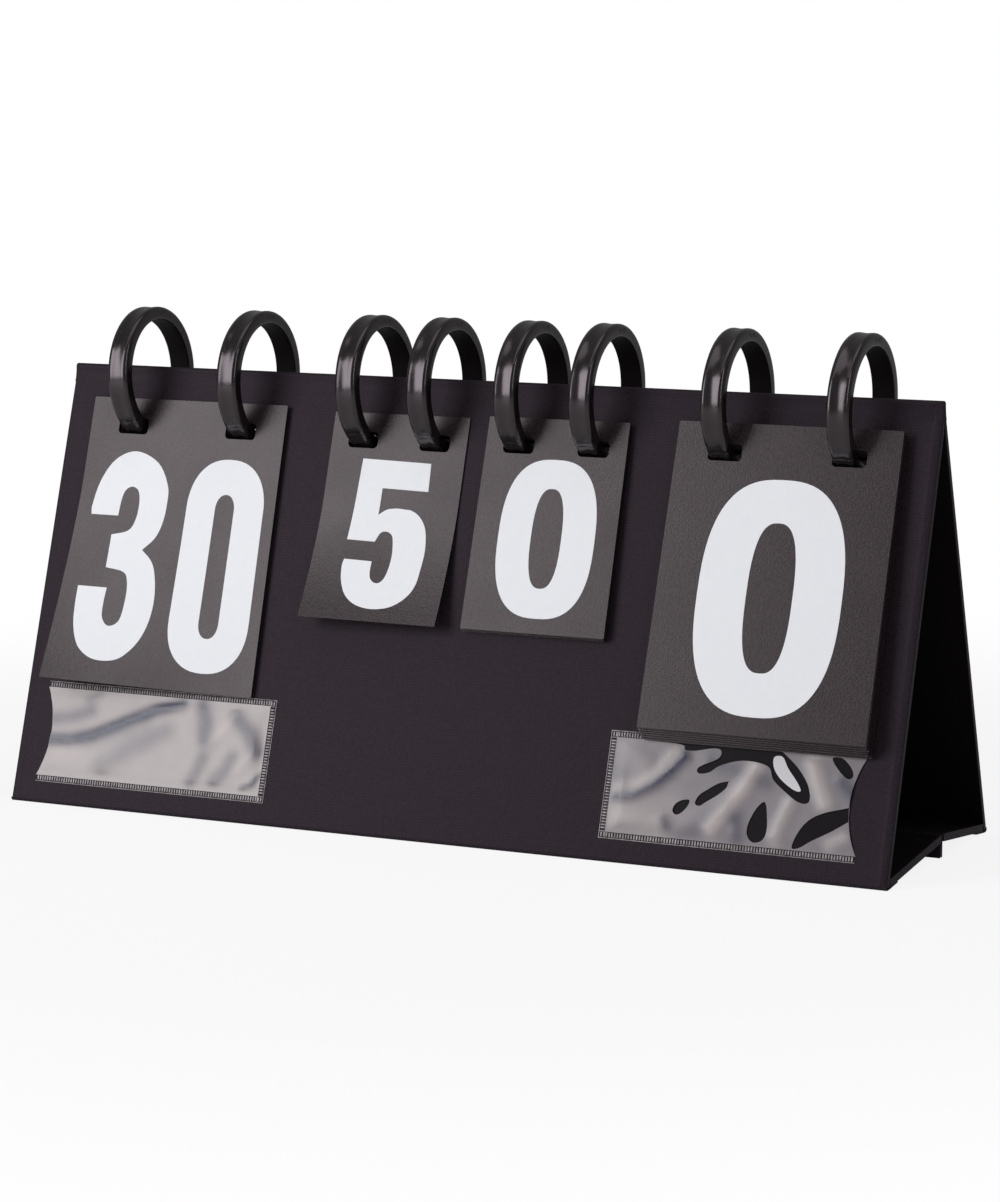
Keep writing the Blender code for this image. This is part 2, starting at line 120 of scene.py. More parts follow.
def feed(tree: Tree, node: Node, **inputs: object) -> None:
    """Gives a node's sockets their values, or links what feeds them.

    Args:
        tree: The nodes that it is one of.
        node: The node.
        inputs: A value or an output for each socket, with _ for a space in its name or before its number.
    """
    for name, value in inputs.items():
        socket = node.inputs[int(name[1:])] if name[1:].isdigit() else node.inputs[name.replace("_", " ")]
        if isinstance(value, Socket):
            tree.links.new(value, socket)
        else:
            socket.default_value = value


def add_node(
    tree: Tree, kind: str, output: str, settings: dict | None = None, **inputs: object,
) -> Socket | None:
    """Adds a shader node with its settings and links.

    Args:
        tree: The material's or world's nodes.
        kind: The node's type.
        output: The output that is used, or nothing for a tree's last node.
        settings: Its own properties.
        inputs: What its sockets take, as feed takes it.

    Returns:
        The output.
    """
    node = tree.nodes.new(kind)
    for key, value in (settings or {}).items():
        setattr(node, key, value)
    feed(tree, node, **inputs)
    return node.outputs[output] if output else None


@dataclass(frozen=True)
class Finish:
    """What a surface is made of: its material's name and the record's slot for it."""

    name: str
    slot: Slot

    def material(self) -> bpy.types.Material:
        """Gives the finish's material, which is made on first use.

        Returns:
            The material.
        """
        made = bpy.data.materials.get(self.name)
        if made is None:
            made = bpy.data.materials.new(self.name)
            made.use_nodes = True
            self.dress(made.node_tree, made.node_tree.nodes["Principled BSDF"])
        return made

    def dress(self, tree: Tree, shader: Node) -> None:
        """Sets the shader and what feeds it; each finish has its own."""
        raise NotImplementedError


@dataclass(frozen=True)
class BookCloth(Finish):
    """Polyester book cloth, plain woven and dyed a warm black, glued over board.

    Its matt threads give the eye an even, faintly mottled dark face with a soft bloom at low angles.
    """

    tilt: float = 0.0
    thread: float = 0.55 * MM  # the real threads are 0.3 mm, too fine to show
    mottle: float = 0.9 * MM
    dark: str = "#110D11"
    light: str = "#272027"
    gloss: float = 0.21
    sheen: float = 0.02

    def dress(self, tree: Tree, shader: Node) -> None:
        """Weaves threads along X and up the panel, and mottles their colour.

        Args:
            tree: The material's nodes.
            shader: Its shader.
        """
        place = add_node(tree, "ShaderNodeTexCoord", "Object")
        along = add_node(tree, "ShaderNodeMapping", "Vector", Vector=place, Rotation=(self.tilt, 0, 0))
        scale = WAVE_PERIOD / (2 * self.thread)
        warp, weft = (
            add_node(tree, "ShaderNodeTexWave", "Fac", {"bands_direction": way}, Vector=along, Scale=scale,
                     Distortion=1.5, Detail=1.0, Detail_Scale=0.7)
            for way in ("X", "Z")
        )
        weave = add_node(tree, "ShaderNodeMath", "Value", {"operation": "MULTIPLY"}, _0=warp, _1=weft)
        mottle = add_node(tree, "ShaderNodeTexNoise", "Fac", Vector=along, Scale=1 / self.mottle, Detail=3.0,
                          Roughness=0.7)
        blend = add_node(tree, "ShaderNodeMath", "Value", {"operation": "MULTIPLY_ADD"},
                         _0=weave, _1=0.35, _2=mottle)
        share = add_node(tree, "ShaderNodeMapRange", "Result", Value=blend, From_Min=0.3, From_Max=0.85)
        colour = add_node(tree, "ShaderNodeMixRGB", "Color", Fac=share, Color1=linear(self.dark),
                          Color2=linear(self.light))
        bump = add_node(tree, "ShaderNodeBump", "Normal", Strength=0.6, Distance=0.13 * MM, Height=blend)
        feed(tree, shader, Base_Color=colour, Normal=bump, Roughness=0.55, Specular_IOR_Level=self.gloss,
             Specular_Tint=linear("#FFE9FC"), Sheen_Weight=self.sheen, Sheen_Roughness=0.5)


@dataclass(frozen=True)
class GreyBoard(Finish):
    """Recycled grey board, cut with a die. Its fibres give the eye a rough, tan edge."""

    fibre: float = 0.4 * MM

    def dress(self, tree: Tree, shader: Node) -> None:
        """Streaks the cut edge with fibres.

        Args:
            tree: The material's nodes.
            shader: Its shader.
        """
        place = add_node(tree, "ShaderNodeTexCoord", "Object")
        fibres = add_node(tree, "ShaderNodeTexNoise", "Fac", Vector=place, Scale=1 / self.fibre, Detail=4.0)
        colour = add_node(tree, "ShaderNodeMixRGB", "Color", Fac=fibres, Color1=linear("#54412F"),
                          Color2=linear("#80674E"))
        bump = add_node(tree, "ShaderNodeBump", "Normal", Strength=0.6, Distance=0.1 * MM, Height=fibres)
        feed(tree, shader, Base_Color=colour, Normal=bump, Roughness=0.95, Specular_IOR_Level=0.2)


@dataclass(frozen=True)
class LeafPlastic(Finish):
    """Charcoal polypropylene sheet, calendered with a fine sand grain.

    The grain gives the eye a satin face that lightens where it mirrors the lamp.
    """

    grain: float = 0.8 * MM  # the real grain is about 0.2 mm, too fine to show
    dark: str = "#1D161A"
    light: str = "#382F33"
    shine: Pair = (0.27, 0.33)
    gloss: float = 0.39
    rubbed: float = 28 * MM

    def dress(self, tree: Tree, shader: Node) -> None:
        """Grains the sheet and varies its shine a little, where hands have rubbed it.

        Args:
            tree: The material's nodes.
            shader: Its shader.
        """
        place = add_node(tree, "ShaderNodeTexCoord", "Object")
        grain = add_node(tree, "ShaderNodeTexNoise", "Fac", Vector=place, Scale=1 / self.grain, Detail=2.0,
                         Roughness=0.6)
        rubbed = add_node(tree, "ShaderNodeTexNoise", "Fac", Vector=place, Scale=1 / self.rubbed, Detail=3.0)
        share = add_node(tree, "ShaderNodeMapRange", "Result", Value=grain, From_Min=0.3, From_Max=0.7)
        colour = add_node(tree, "ShaderNodeMixRGB", "Color", Fac=share, Color1=linear(self.dark),
                          Color2=linear(self.light))
        rough = add_node(tree, "ShaderNodeMapRange", "Result", Value=rubbed, From_Min=0.3, From_Max=0.7,
                         To_Min=self.shine[0], To_Max=self.shine[1])
        bump = add_node(tree, "ShaderNodeBump", "Normal", Strength=0.8, Distance=0.06 * MM, Height=grain)
        feed(tree, shader, Base_Color=colour, Roughness=rough, Normal=bump, IOR=1.49,
             Specular_IOR_Level=self.gloss, Specular_Tint=linear("#FFF6FA"))


@dataclass(frozen=True)
class ScreenInk(Finish):
    """White screen-printing ink on plastic. It gives the eye a flat, faintly blue white with a soft shine."""

    patch: float = 3 * MM

    def dress(self, tree: Tree, shader: Node) -> None:
        """Lets the ink's thickness vary a very little.

        Args:
            tree: The material's nodes.
            shader: Its shader.
        """
        place = add_node(tree, "ShaderNodeTexCoord", "Object")
        cover = add_node(tree, "ShaderNodeTexNoise", "Fac", Vector=place, Scale=1 / self.patch, Detail=4.0,
                         Roughness=0.7)
        colour = add_node(tree, "ShaderNodeMixRGB", "Color", Fac=cover, Color1=linear("#F2F3F9"),
                          Color2=linear("#F8F9FD"))
        bump = add_node(tree, "ShaderNodeBump", "Normal", Strength=0.1, Distance=0.02 * MM, Height=cover)
        feed(tree, shader, Base_Color=colour, Normal=bump, Roughness=0.5, IOR=1.48, Specular_IOR_Level=0.12)


@dataclass(frozen=True)
class RingPlastic(Finish):
    """Black ABS, injection moulded in a polished tool, then handled and rubbed.

    It gives the eye deep black with long soft lights, broken by faint scuffs that run round the ring.
    """

    shine: Pair = (0.17, 0.26)
    gloss: float = 0.9
    scuff: float = 2.4 * MM
    flow: float = 7 * MM

    def dress(self, tree: Tree, shader: Node) -> None:
        """Draws fine scuffs and lets the shine vary with them.

        Args:
            tree: The material's nodes.
            shader: Its shader.
        """
        place = add_node(tree, "ShaderNodeTexCoord", "Object")
        drawn = add_node(tree, "ShaderNodeMapping", "Vector", Vector=place, Scale=(3.0, 0.3, 0.3))
        scuffs = add_node(tree, "ShaderNodeTexNoise", "Fac", Vector=drawn, Scale=1 / self.scuff, Detail=3.0,
                          Roughness=0.5)
        flow = add_node(tree, "ShaderNodeTexNoise", "Fac", Vector=place, Scale=1 / self.flow, Detail=2.0)
        rough = add_node(tree, "ShaderNodeMapRange", "Result", Value=scuffs, From_Min=0.35, From_Max=0.75,
                         To_Min=self.shine[0], To_Max=self.shine[1])
        colour = add_node(tree, "ShaderNodeMixRGB", "Color", Fac=flow, Color1=linear("#0B0908"),
                          Color2=linear("#151110"))
        bump = add_node(tree, "ShaderNodeBump", "Normal", Strength=0.25, Distance=0.08 * MM, Height=flow)
        feed(tree, shader, Base_Color=colour, Roughness=rough, Normal=bump, IOR=1.45,
             Specular_IOR_Level=self.gloss, Specular_Tint=linear("#FCEEF8"))


@dataclass(frozen=True)
class SoftFilm(Finish):
    """Plasticised PVC film, cast clear and gone slightly milky.

    It gives the eye a grey haze over the dark cloth; its colour mixes a lit and a shaded tone by its folds, as
    painted light and painted shade.
    """

    haze: float = 0.94
    shaded: str = "#3C3F55"
    lit: str = "#BDB2B1"
    gloss: float = 0.5
    drift: float = 7 * MM

    def dress(self, tree: Tree, shader: Node) -> None:
        """Paints shade and light into the haze's colour where the mesh says that a fold lies.

        Args:
            tree: The material's nodes.
            shader: Its shader.
        """
        folds = add_node(tree, "ShaderNodeAttribute", "Fac", {"attribute_name": SHADE})
        place = add_node(tree, "ShaderNodeTexCoord", "Object")
        drift = add_node(tree, "ShaderNodeTexNoise", "Fac", Vector=place, Scale=1 / self.drift, Detail=3.0)
        share = add_node(tree, "ShaderNodeMath", "Value", {"operation": "MULTIPLY_ADD", "use_clamp": True},
                         _0=drift, _1=0.16, _2=folds)
        # the lit and shaded tones: the folds' painted light and painted shade
        colour = add_node(tree, "ShaderNodeMixRGB", "Color", Fac=share, Color1=linear(self.lit),
                          Color2=linear(self.shaded))
        feed(tree, shader, Base_Color=colour, Roughness=0.3, IOR=1.53, Specular_IOR_Level=self.gloss,
             Alpha=self.haze)


@dataclass(frozen=True)
class WeldedEdge(Finish):
    """The film's edge, welded to the cloth by a knurled tool. Its ribs give the eye a pale ladder."""

    cloud: float = 1.8 * MM

    def dress(self, tree: Tree, shader: Node) -> None:
        """Varies how far each rib has gone milky.

        Args:
            tree: The material's nodes.
            shader: Its shader.
        """
        place = add_node(tree, "ShaderNodeTexCoord", "Object")
        cloud = add_node(tree, "ShaderNodeTexNoise", "Fac", Vector=place, Scale=1 / self.cloud, Detail=3.0)
        share = add_node(tree, "ShaderNodeMapRange", "Result", Value=cloud, From_Min=0.3, From_Max=0.7)
        colour = add_node(tree, "ShaderNodeMixRGB", "Color", Fac=share, Color1=linear("#716B6E"),
                          Color2=linear("#AFA8AB"))
        feed(tree, shader, Base_Color=colour, Roughness=0.35, IOR=1.53)


@dataclass(frozen=True)
class HookTape(Finish):
    """Woven nylon hook-and-loop tape. Its pile gives the eye a dull, speckled black."""

    hook: float = 0.8 * MM

    def dress(self, tree: Tree, shader: Node) -> None:
        """Speckles the pile.

        Args:
            tree: The material's nodes.
            shader: Its shader.
        """
        place = add_node(tree, "ShaderNodeTexCoord", "Object")
        pile = add_node(tree, "ShaderNodeTexVoronoi", "Distance", Vector=place, Scale=1 / self.hook)
        colour = add_node(tree, "ShaderNodeMixRGB", "Color", Fac=pile, Color1=linear("#1F1D20"),
                          Color2=linear("#0E0D0F"))
        bump = add_node(tree, "ShaderNodeBump", "Normal", {"invert": True}, Strength=0.8, Distance=0.3 * MM,
                        Height=pile)
        feed(tree, shader, Base_Color=colour, Normal=bump, Roughness=0.75, Specular_IOR_Level=0.3)


# The cover's cloth laid flat, so that its threads run along the table.
BASE_CLOTH = BookCloth("book_cloth_base", Slot.COVER, tilt=math.pi / 2)
# The cloth glued inside, duller than the cover and coloured darker: partly its own dark and partly painted
# shade for the inside of the board. It gives the eye a plain near-black.
LINING = BookCloth("lining_cloth_painted_shade", Slot.LINING, dark="#0B090A", light="#151113", gloss=0.1, sheen=0.0)
GREY_BOARD = GreyBoard("die_cut_grey_board", Slot.BOARD)
LEAF_FACE = LeafPlastic("grained_leaf_plastic", Slot.LEAF)
# The sheet where the guillotine cut it, matt and coloured darker than its face: painted shade on the edges
# that face down under each leaf, so each leaf of a stack ends in a dark line.
SHADED_LEAF_EDGE = LeafPlastic("leaf_edge_painted_shade", Slot.LEAF, grain=0.5 * MM, dark="#0D0A0C", light="#1D181B",
                        shine=(0.6, 0.7), gloss=0.0)
INK = ScreenInk("white_screen_ink", Slot.LEAF)
RING_OUTSIDE = RingPlastic("moulded_ring_plastic", Slot.RING)
# The ring's inner side, as it leaves the tool. It mirrors nothing, so the slots stay black.
RING_INSIDE = RingPlastic("matt_ring_inside", Slot.RING, shine=(0.6, 0.7), gloss=0.15)
FILM = SoftFilm("milky_film", Slot.FILM)
# The film where it sticks to the cloth without any air. It gives the eye the cloth's own dark; under the stack
# that dark is also painted shade.
CLINGING_AND_SHADE = SoftFilm("clinging_film_and_shade", Slot.FILM, haze=1.0, lit="#171317", shaded="#120F12", gloss=0.08)
# The film's sharpest fold, opaque and pale: a painted highlight where it would mirror the lamp. It gives the
# eye one pale sliver.
PAINTED_GLINT = SoftFilm("film_painted_glint", Slot.FILM, haze=1.0, lit="#DAD8DD", shaded="#A9A8B0")
WELD = WeldedEdge("welded_film_edge", Slot.BINDING)
TAPE = HookTape("hook_and_loop_tape", Slot.TAPE)


def mesh_of(name: str, points: Sequence[Sequence], faces: Sequence[Sequence[int]], sharp: float) -> Mesh:
    """Makes a smooth-shaded mesh, its faces turned outwards.

    Args:
        name: The mesh's name.
        points: Its points.
        faces: Its faces, as indices of points.
        sharp: The angle between faces, in degrees, above which an edge stays sharp.

    Returns:
        The mesh.
    """
    mesh = bpy.data.meshes.new(name)
    mesh.from_pydata([tuple(point) for point in points], [], faces)
    bm = bmesh.new()
    bm.from_mesh(mesh)
    bmesh.ops.recalc_face_normals(bm, faces=bm.faces)
    bm.to_mesh(mesh)
    bm.free()
    mesh.shade_smooth()
    mesh.set_sharp_from_angle(angle=math.radians(sharp))
    return mesh


def band(first: int, after: int, count: int) -> list[list[int]]:
    """Joins two closed loops of points with faces.

    Args:
        first: The index of one loop's first point.
        after: The index of the other's.
        count: How many points each has.

    Returns:
        The faces.
    """
    return [[first + i, first + (i + 1) % count, after + (i + 1) % count, after + i] for i in range(count)]


def join_meshes(name: str, meshes: Sequence[Mesh]) -> Mesh:
    """Puts several meshes into one, with their own shading.

    Args:
        name: The new mesh's name.
        meshes: The meshes, which are removed.

    Returns:
        The mesh.
    """
    bm = bmesh.new()
    for mesh in meshes:
        bm.from_mesh(mesh)
        bpy.data.meshes.remove(mesh)
    joined = bpy.data.meshes.new(name)
    bm.to_mesh(joined)
    bm.free()
    return joined


def sheet_mesh(
    name: str, outline: Loop, holes: Sequence[Loop], cuts: tuple[Sequence[float], Sequence[float]],
    depths: Pair, place: Placer, sharp: float = 35.0, rim_finish: int = 0,
) -> Mesh:
    """Cuts a flat sheet, splits it along straight lines so that it can bend, and puts it in place.

    Args:
        name: The mesh's name.
        outline: The sheet's edge.
        holes: The edges of its holes.
        cuts: Where it is split across each of its two directions.
        depths: Its lower and upper face.
        place: Gives the point for a place on the sheet and a height over it.
        sharp: The angle above which an edge stays sharp, in degrees.
        rim_finish: Which of the piece's finishes its cut edge has.

    Returns:
        A closed mesh.
    """
    bm = bmesh.new()
    edges = []
    for loop in (outline, *holes):
        points = [bm.verts.new((a, b, 0)) for a, b in loop]
        edges += [bm.edges.new(pair) for pair in zip(points, points[1:] + points[:1])]
    bmesh.ops.triangle_fill(bm, use_beauty=True, edges=edges)
    for axis, values in enumerate(cuts):
        normal = Vector((1 - axis, axis, 0))
        for value in values:
            whole = bm.verts[:] + bm.edges[:] + bm.faces[:]
            bmesh.ops.bisect_plane(bm, geom=whole, dist=ON_A_CUT, plane_co=normal * value, plane_no=normal)
    bm.verts.index_update()
    flat = [(vert.co.x, vert.co.y) for vert in bm.verts]
    faces = [[vert.index for vert in face.verts] for face in bm.faces]
    corners = [edge.link_loops[0] for edge in bm.edges if len(edge.link_faces) == 1]
    rims = [(corner.vert.index, corner.link_loop_next.vert.index) for corner in corners]
    bm.free()
    count = len(flat)
    points = [place(a, b, depth) for depth in depths for a, b in flat]
    solid = [list(reversed(face)) for face in faces]
    solid += [[i + count for i in face] for face in faces]
    solid += [[i, j, j + count, i + count] for i, j in rims]
    mesh = mesh_of(name, points, solid, sharp)
    mesh.polygons.foreach_set("material_index", [0] * (2 * len(faces)) + [rim_finish] * len(rims))
    return mesh


def section_mesh(name: str, sections: Sequence[tuple[float, Loop]]) -> Mesh:
    """Draws a closed section of folded cloth out along X.

    Args:
        name: The mesh's name.
        sections: Each station's X and its section of (y, z) points, all with as many points.

    Returns:
        A closed mesh.
    """
    count, last = len(sections[0][1]), len(sections) - 1
    points = [(x, y, z) for x, section in sections for y, z in section]
    faces = [list(range(count)), [count * last + i for i in range(count)]]
    for row in range(last):
        faces += band(row * count, (row + 1) * count, count)
    return mesh_of(name, points, faces, CLOTH_SHARP)


def spaced(low: float, high: float, step: float) -> list[float]:
    """Splits a length into even steps.

    Args:
        low: Its start.
        high: Its end.
        step: About how long a step is.

    Returns:
        The places between the steps, without the ends.
    """
    count = max(1, round((high - low) / step))
    return [low + (high - low) * i / count for i in range(1, count)]


def rounded_box(
    low_x: float, high_x: float, low_y: float, high_y: float, rounding: float, steps: int = 4,
) -> Loop:
    """Draws a rectangle with round corners.

    Args:
        low_x: Its left edge.
        high_x: Its right edge.
        low_y: Its lower edge.
        high_y: Its upper edge.
        rounding: The corners' radius.
        steps: How many parts a corner has.

    Returns:
        Its outline.
    """
    corners = (
        (high_x - rounding, high_y - rounding, 0),
        (low_x + rounding, high_y - rounding, 90),
        (low_x + rounding, low_y + rounding, 180),
        (high_x - rounding, low_y + rounding, 270),
    )
    loop = []
    for x, y, start in corners:
        for step in range(steps + 1):
            turn = math.radians(start + 90 * step / steps)
            loop.append((x + rounding * math.cos(turn), y + rounding * math.sin(turn)))
    return loop


def loop_length(line: Loop) -> float:
    """Measures an open line of points.

    Args:
        line: The points.

    Returns:
        Its length.
    """
    return sum(math.dist(a, b) for a, b in zip(line, line[1:]))


def flowing(points: Sequence[tuple], steps: int = 5) -> Loop:
    """Draws a smooth closed line through points, with a corner at each point that has a third value.

    Args:
        points: (x, y), or (x, y, 1) at a corner.
        steps: How many parts lie between two points.

    Returns:
        The line's points.
    """
    count = len(points)
    line = []
    for i in range(count):
        near = [points[(i + k) % count] for k in (-1, 0, 1, 2)]
        here, after = near[1], near[2]
        if len(here) > 2:
            near[0] = tuple(2 * a - b for a, b in zip(here[:2], after[:2]))
        if len(after) > 2:
            near[3] = tuple(2 * a - b for a, b in zip(after[:2], here[:2]))
        straight = len(here) > 2 and len(after) > 2
        for step in range(1 if straight else steps):
            t = step / steps
            weights = (
                (-t + 2 * t**2 - t**3) / 2,
                (2 - 5 * t**2 + 3 * t**3) / 2,
                (t + 4 * t**2 - 3 * t**3) / 2,
                (-t**2 + t**3) / 2,
            )
            line.append(tuple(sum(w * p[axis] for w, p in zip(weights, near)) for axis in (0, 1)))
    return line


@dataclass(frozen=True)
class Board:
    """The board's overall sizes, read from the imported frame, and places on its two leaning panels."""

    width: float
    height: float
    half_depth: float

    @classmethod
    def measured(cls) -> "Board":
        """Reads the sizes from the ridge and the front heel."""
        low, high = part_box("ridge_hinge_cloth")
        return cls(high[0] - low[0], high[2], -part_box("front_heel_hinge_cloth")[0][1])

    @property
    def lean(self) -> float:
        """The panels' lean from upright, in radians."""
        return math.atan2(self.half_depth, self.height)

    def cloth(self, side: Side) -> BookCloth:
        """The cloth over a panel, its threads running up the slope."""
        return BookCloth(f"book_cloth_{side.name.lower()}", Slot.COVER, tilt=-side.value * self.lean)

    def place(self, side: Side, x: float, down: float, out: float) -> Vector:
        """The point on a panel at x, so far down its outer face from the apex and so far out from it."""
        s, c = math.sin(self.lean), math.cos(self.lean)
        return Vector((x, side.value * (down * s + out * c), self.height - down * c + out * s))

    def flat(self, side: Side, point: Vector) -> Vector:
        """Turns a point into its x, how far down a panel it lies and how far out from its face.

        Args:
            side: Which panel.
            point: The point.

        Returns:
            Its x, down and out.
        """
        s, c = math.sin(self.lean), math.cos(self.lean)
        y, z = side.value * point.y, self.height - point.z
        return Vector((point.x, y * s + z * c, y * c - z * s))

    def local(self, node: str, side: Side) -> list[Vector]:
        """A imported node's points, each as its x, down and out on a panel."""
        return [self.flat(side, vert.co) for vert in frame["nodes"][node].data.vertices]

    def spread(self, node: str, side: Side) -> tuple[Vector, Vector]:
        """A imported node's lowest and highest x, down and out on a panel."""
        points = self.local(node, side)
        return tuple(Vector([pick(p[i] for p in points) for i in range(3)]) for pick in (min, max))


def add_piece(
    name: str, mesh: Mesh, finishes: Sequence[Finish], body: str | None, replaced: Sequence[str] = (),
) -> bpy.types.Object:
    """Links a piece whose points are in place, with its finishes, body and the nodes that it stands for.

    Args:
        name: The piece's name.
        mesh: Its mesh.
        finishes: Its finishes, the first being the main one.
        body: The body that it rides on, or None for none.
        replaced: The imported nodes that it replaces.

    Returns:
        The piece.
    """
    for finish in finishes:
        mesh.materials.append(finish.material())
    piece = bpy.data.objects.new(name, mesh)
    bpy.context.scene.collection.objects.link(piece)
    if body:
        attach(piece, body)
    if replaced:
        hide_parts(*replaced)
    log.info("%s: %d faces, on %s", name, len(mesh.polygons), body or "two bodies")
    return piece


def dress_node(node: str, finish: Finish, rounding: float) -> bpy.types.Object:
    """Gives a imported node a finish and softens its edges.

    Args:
        node: The node's name.
        finish: Its finish.
        rounding: How wide its edges are rounded.

    Returns:
        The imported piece.
    """
    piece = frame["nodes"][node]
    for place in piece.material_slots:
        place.material = finish.material()
    soft = piece.modifiers.new("worn_edges", "BEVEL")
    soft.width = rounding
    soft.segments = 2
    soft.limit_method = "ANGLE"
    soft.angle_limit = math.radians(WORN_ANGLE)
    log.info("%s: kept, finished as %s", node, finish.name)
    return piece


@dataclass
class Panel:
    """One leaning panel: the cloth drawn over its board and turned in at both ends, with the rings' slots."""

    board: Board
    side: Side
    label: str
    body: str
    cloth: float = 0.45 * MM
    thickness: float = 3.0 * MM
    corner: float = 1.0 * MM
    corner_steps: int = 4
    welt: float = 0.14 * MM
    welt_reach: float = 3.2 * MM
    welt_steps: int = 6
    head: float = 4.75 * MM
    heel_height: float = 1.7 * MM
    apex_depth: float = 1.2 * MM  # how deep the end's flap is at the head, where the other panel is near
    apex_reach: float = 12.4 * MM  # how far down it has its whole depth
    slot_rounding: float = 1.6 * MM
    slots_inside: float = 5.0 * MM  # the slots lie farther than this from the panel's ends
    slots_below: float = 6.0 * MM  # and farther than this from the apex
    slot_span: float = 16.0  # mm, wider than any slot and narrower than the space between two
    step_across: float = 24.0 * MM
    step_down: float = 20.0 * MM
    board_edge: float = 0.1 * MM
    lining_edge: float = 0.12 * MM

    def slots(self) -> list[Loop]:
        """Finds the rings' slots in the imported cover.

        Returns:
            The slots' outlines, as x and how far down.
        """
        end = self.board.width / 2 - self.slots_inside
        inner = [p for p in self.board.local(f"{self.label}_cover", self.side)
                 if abs(p.x) < end and self.slots_below < p.y < self.board.height / 2]
        groups = []
        for x in sorted({round(p.x / MM, 2) for p in inner}):
            if not groups or x - groups[-1][0] > self.slot_span:
                groups.append([])
            groups[-1].append(x)
        low, high = min(p.y for p in inner), max(p.y for p in inner)
        return [rounded_box(group[0] * MM, group[-1] * MM, low, high, self.slot_rounding) for group in groups]

    def fold(self, flat: float, depth: float) -> Pair:
        """Wraps the cloth round the board's end.

        Args:
            flat: A place along the flat cloth, from the panel's middle.
            depth: How deep in the cloth, from 0 at its outer face.

        Returns:
            Its x and how far out it lies.
        """
        way = math.copysign(1, flat)
        run = abs(flat)
        start = self.board.width / 2 - self.corner
        quarter = math.pi / 2 * self.corner
        if run <= start:
            swell = max(0.0, 1 - abs(run - (start - self.welt_reach / 2)) / (self.welt_reach / 2))
            return flat, self.welt * math.sin(swell * math.pi / 2) ** 2 - depth
        run -= start
        reach = self.corner - depth
        if run <= quarter:
            turn = run / self.corner
            return way * (start + reach * math.sin(turn)), -self.corner + reach * math.cos(turn)
        return way * (start + reach), -self.corner - (run - quarter)

    def lie(self, flat: float, down: float, depth: float) -> Vector:
        """The point at a place on the flat cloth and a depth in it."""
        x, out = self.fold(flat, depth)
        return self.board.place(self.side, x, down, out)

    def build(self) -> None:
        """Builds the cover and dresses what lies in it."""
        half = self.board.width / 2
        turn_in = half - self.corner
        quarter = math.pi / 2 * self.corner
        reach = turn_in + quarter + self.thickness - self.corner
        foot = (self.board.height - self.heel_height) / math.cos(self.board.lean)
        near = reach - self.thickness + self.apex_depth
        corners = [(near, self.head), (reach, self.apex_reach), (reach, foot)]
        outline = [(-x, down) for x, down in reversed(corners)] + corners
        bends = [turn_in + quarter * k / self.corner_steps for k in range(self.corner_steps + 1)]
        bends += [turn_in - self.welt_reach * k / self.welt_steps for k in range(1, self.welt_steps + 1)]
        across = sorted([-b for b in bends] + bends + spaced(-half, half, self.step_across))
        cuts = (across, spaced(self.head, foot, self.step_down))
        name = f"{self.label}_cloth"
        mesh = sheet_mesh(name, outline, self.slots(), cuts, (self.cloth, 0.0), self.lie, CLOTH_SHARP)
        cover = add_piece(name, mesh, [self.board.cloth(self.side)], self.body, [f"{self.label}_cover"])
        dress_node(f"{self.label}_board", GREY_BOARD, self.board_edge)
        # the lining's darker colour is partly painted shade
        lining = dress_node(f"{self.label}_lining", LINING, self.lining_edge)
        low, high = self.board.spread(f"{self.label}_lining", self.side)


@dataclass
class Ridge:
    """The cloth over the top, which joins the panels."""

    board: Board
    half_width: float = 1.4 * MM
    cloth: float = 0.6 * MM
    reach: float = 8.0 * MM
    tip: float = 0.05 * MM
    lift: float = 0.02 * MM
    softened: float = 0.6 * MM
    outer_ease: float = 0.62  # how soon the outer face leaves the round over the top for the panel's slope
    inner_ease: float = 0.6  # how soon the inner face does
    steps: int = 10
    end_steps: int = 3

    def edge(self, level: float, tip: float) -> Loop:
        """Draws one face of the cloth: over the top and down a little way on both panels.

        Args:
            level: How far it lies inside the outer face at the top.
            tip: How far out from the panel it ends.

        Returns:
            Its (y, z) points, from the back to the front.
        """
        centre, radius = self.board.height - self.half_width, self.half_width - level
        foot = self.board.place(Side.BACK, 0.0, self.reach, tip)
        drop = centre - foot.z
        slope = drop * math.tan(self.board.lean)
        leg = []
        for step in range(self.steps, 0, -1):
            t = step / self.steps
            share = t * (1 - t)
            bend = radius + (foot.y - slope * self.outer_ease - radius) * share
            middle = max(bend, foot.y - slope * self.inner_ease)
            leg.append(((1 - t) ** 2 * radius + 2 * share * middle + t * t * foot.y, centre - drop * t))
        turns = [math.pi * k / self.steps for k in range(self.steps + 1)]
        arc = [(radius * math.cos(turn), centre + radius * math.sin(turn)) for turn in turns]
        return leg + arc + [(-y, z) for y, z in reversed(leg)]

    def section(self, inset: float = 0.0) -> Loop:
        """The cloth's section, its outer face and then its inner one, drawn in by an inset."""
        outer = self.edge(inset, self.tip + self.lift - inset)
        return outer + self.edge(self.cloth + inset, self.lift - inset)[::-1]

    def build(self) -> None:
        """Builds the ridge, its ends softened where the cloth is cut."""
        half = self.board.width / 2
        stations = [(x, self.section()) for x in spaced(-half, half, CLOTH_STEP)]
        for k in range(self.end_steps + 1):
            turn = math.pi / 2 * k / self.end_steps
            x = half - self.softened * (1 - math.cos(turn))
            section = self.section(self.softened * (1 - math.sin(turn)))
            stations += [(-x, section), (x, section)]
        mesh = section_mesh("ridge_cloth", sorted(stations, key=lambda station: station[0]))
        ridge = add_piece("ridge_cloth", mesh, [self.board.cloth(Side.FRONT)], None, ["ridge_hinge_cloth"])
        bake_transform(ridge)
        loop_length(self.edge(0.0, self.tip))


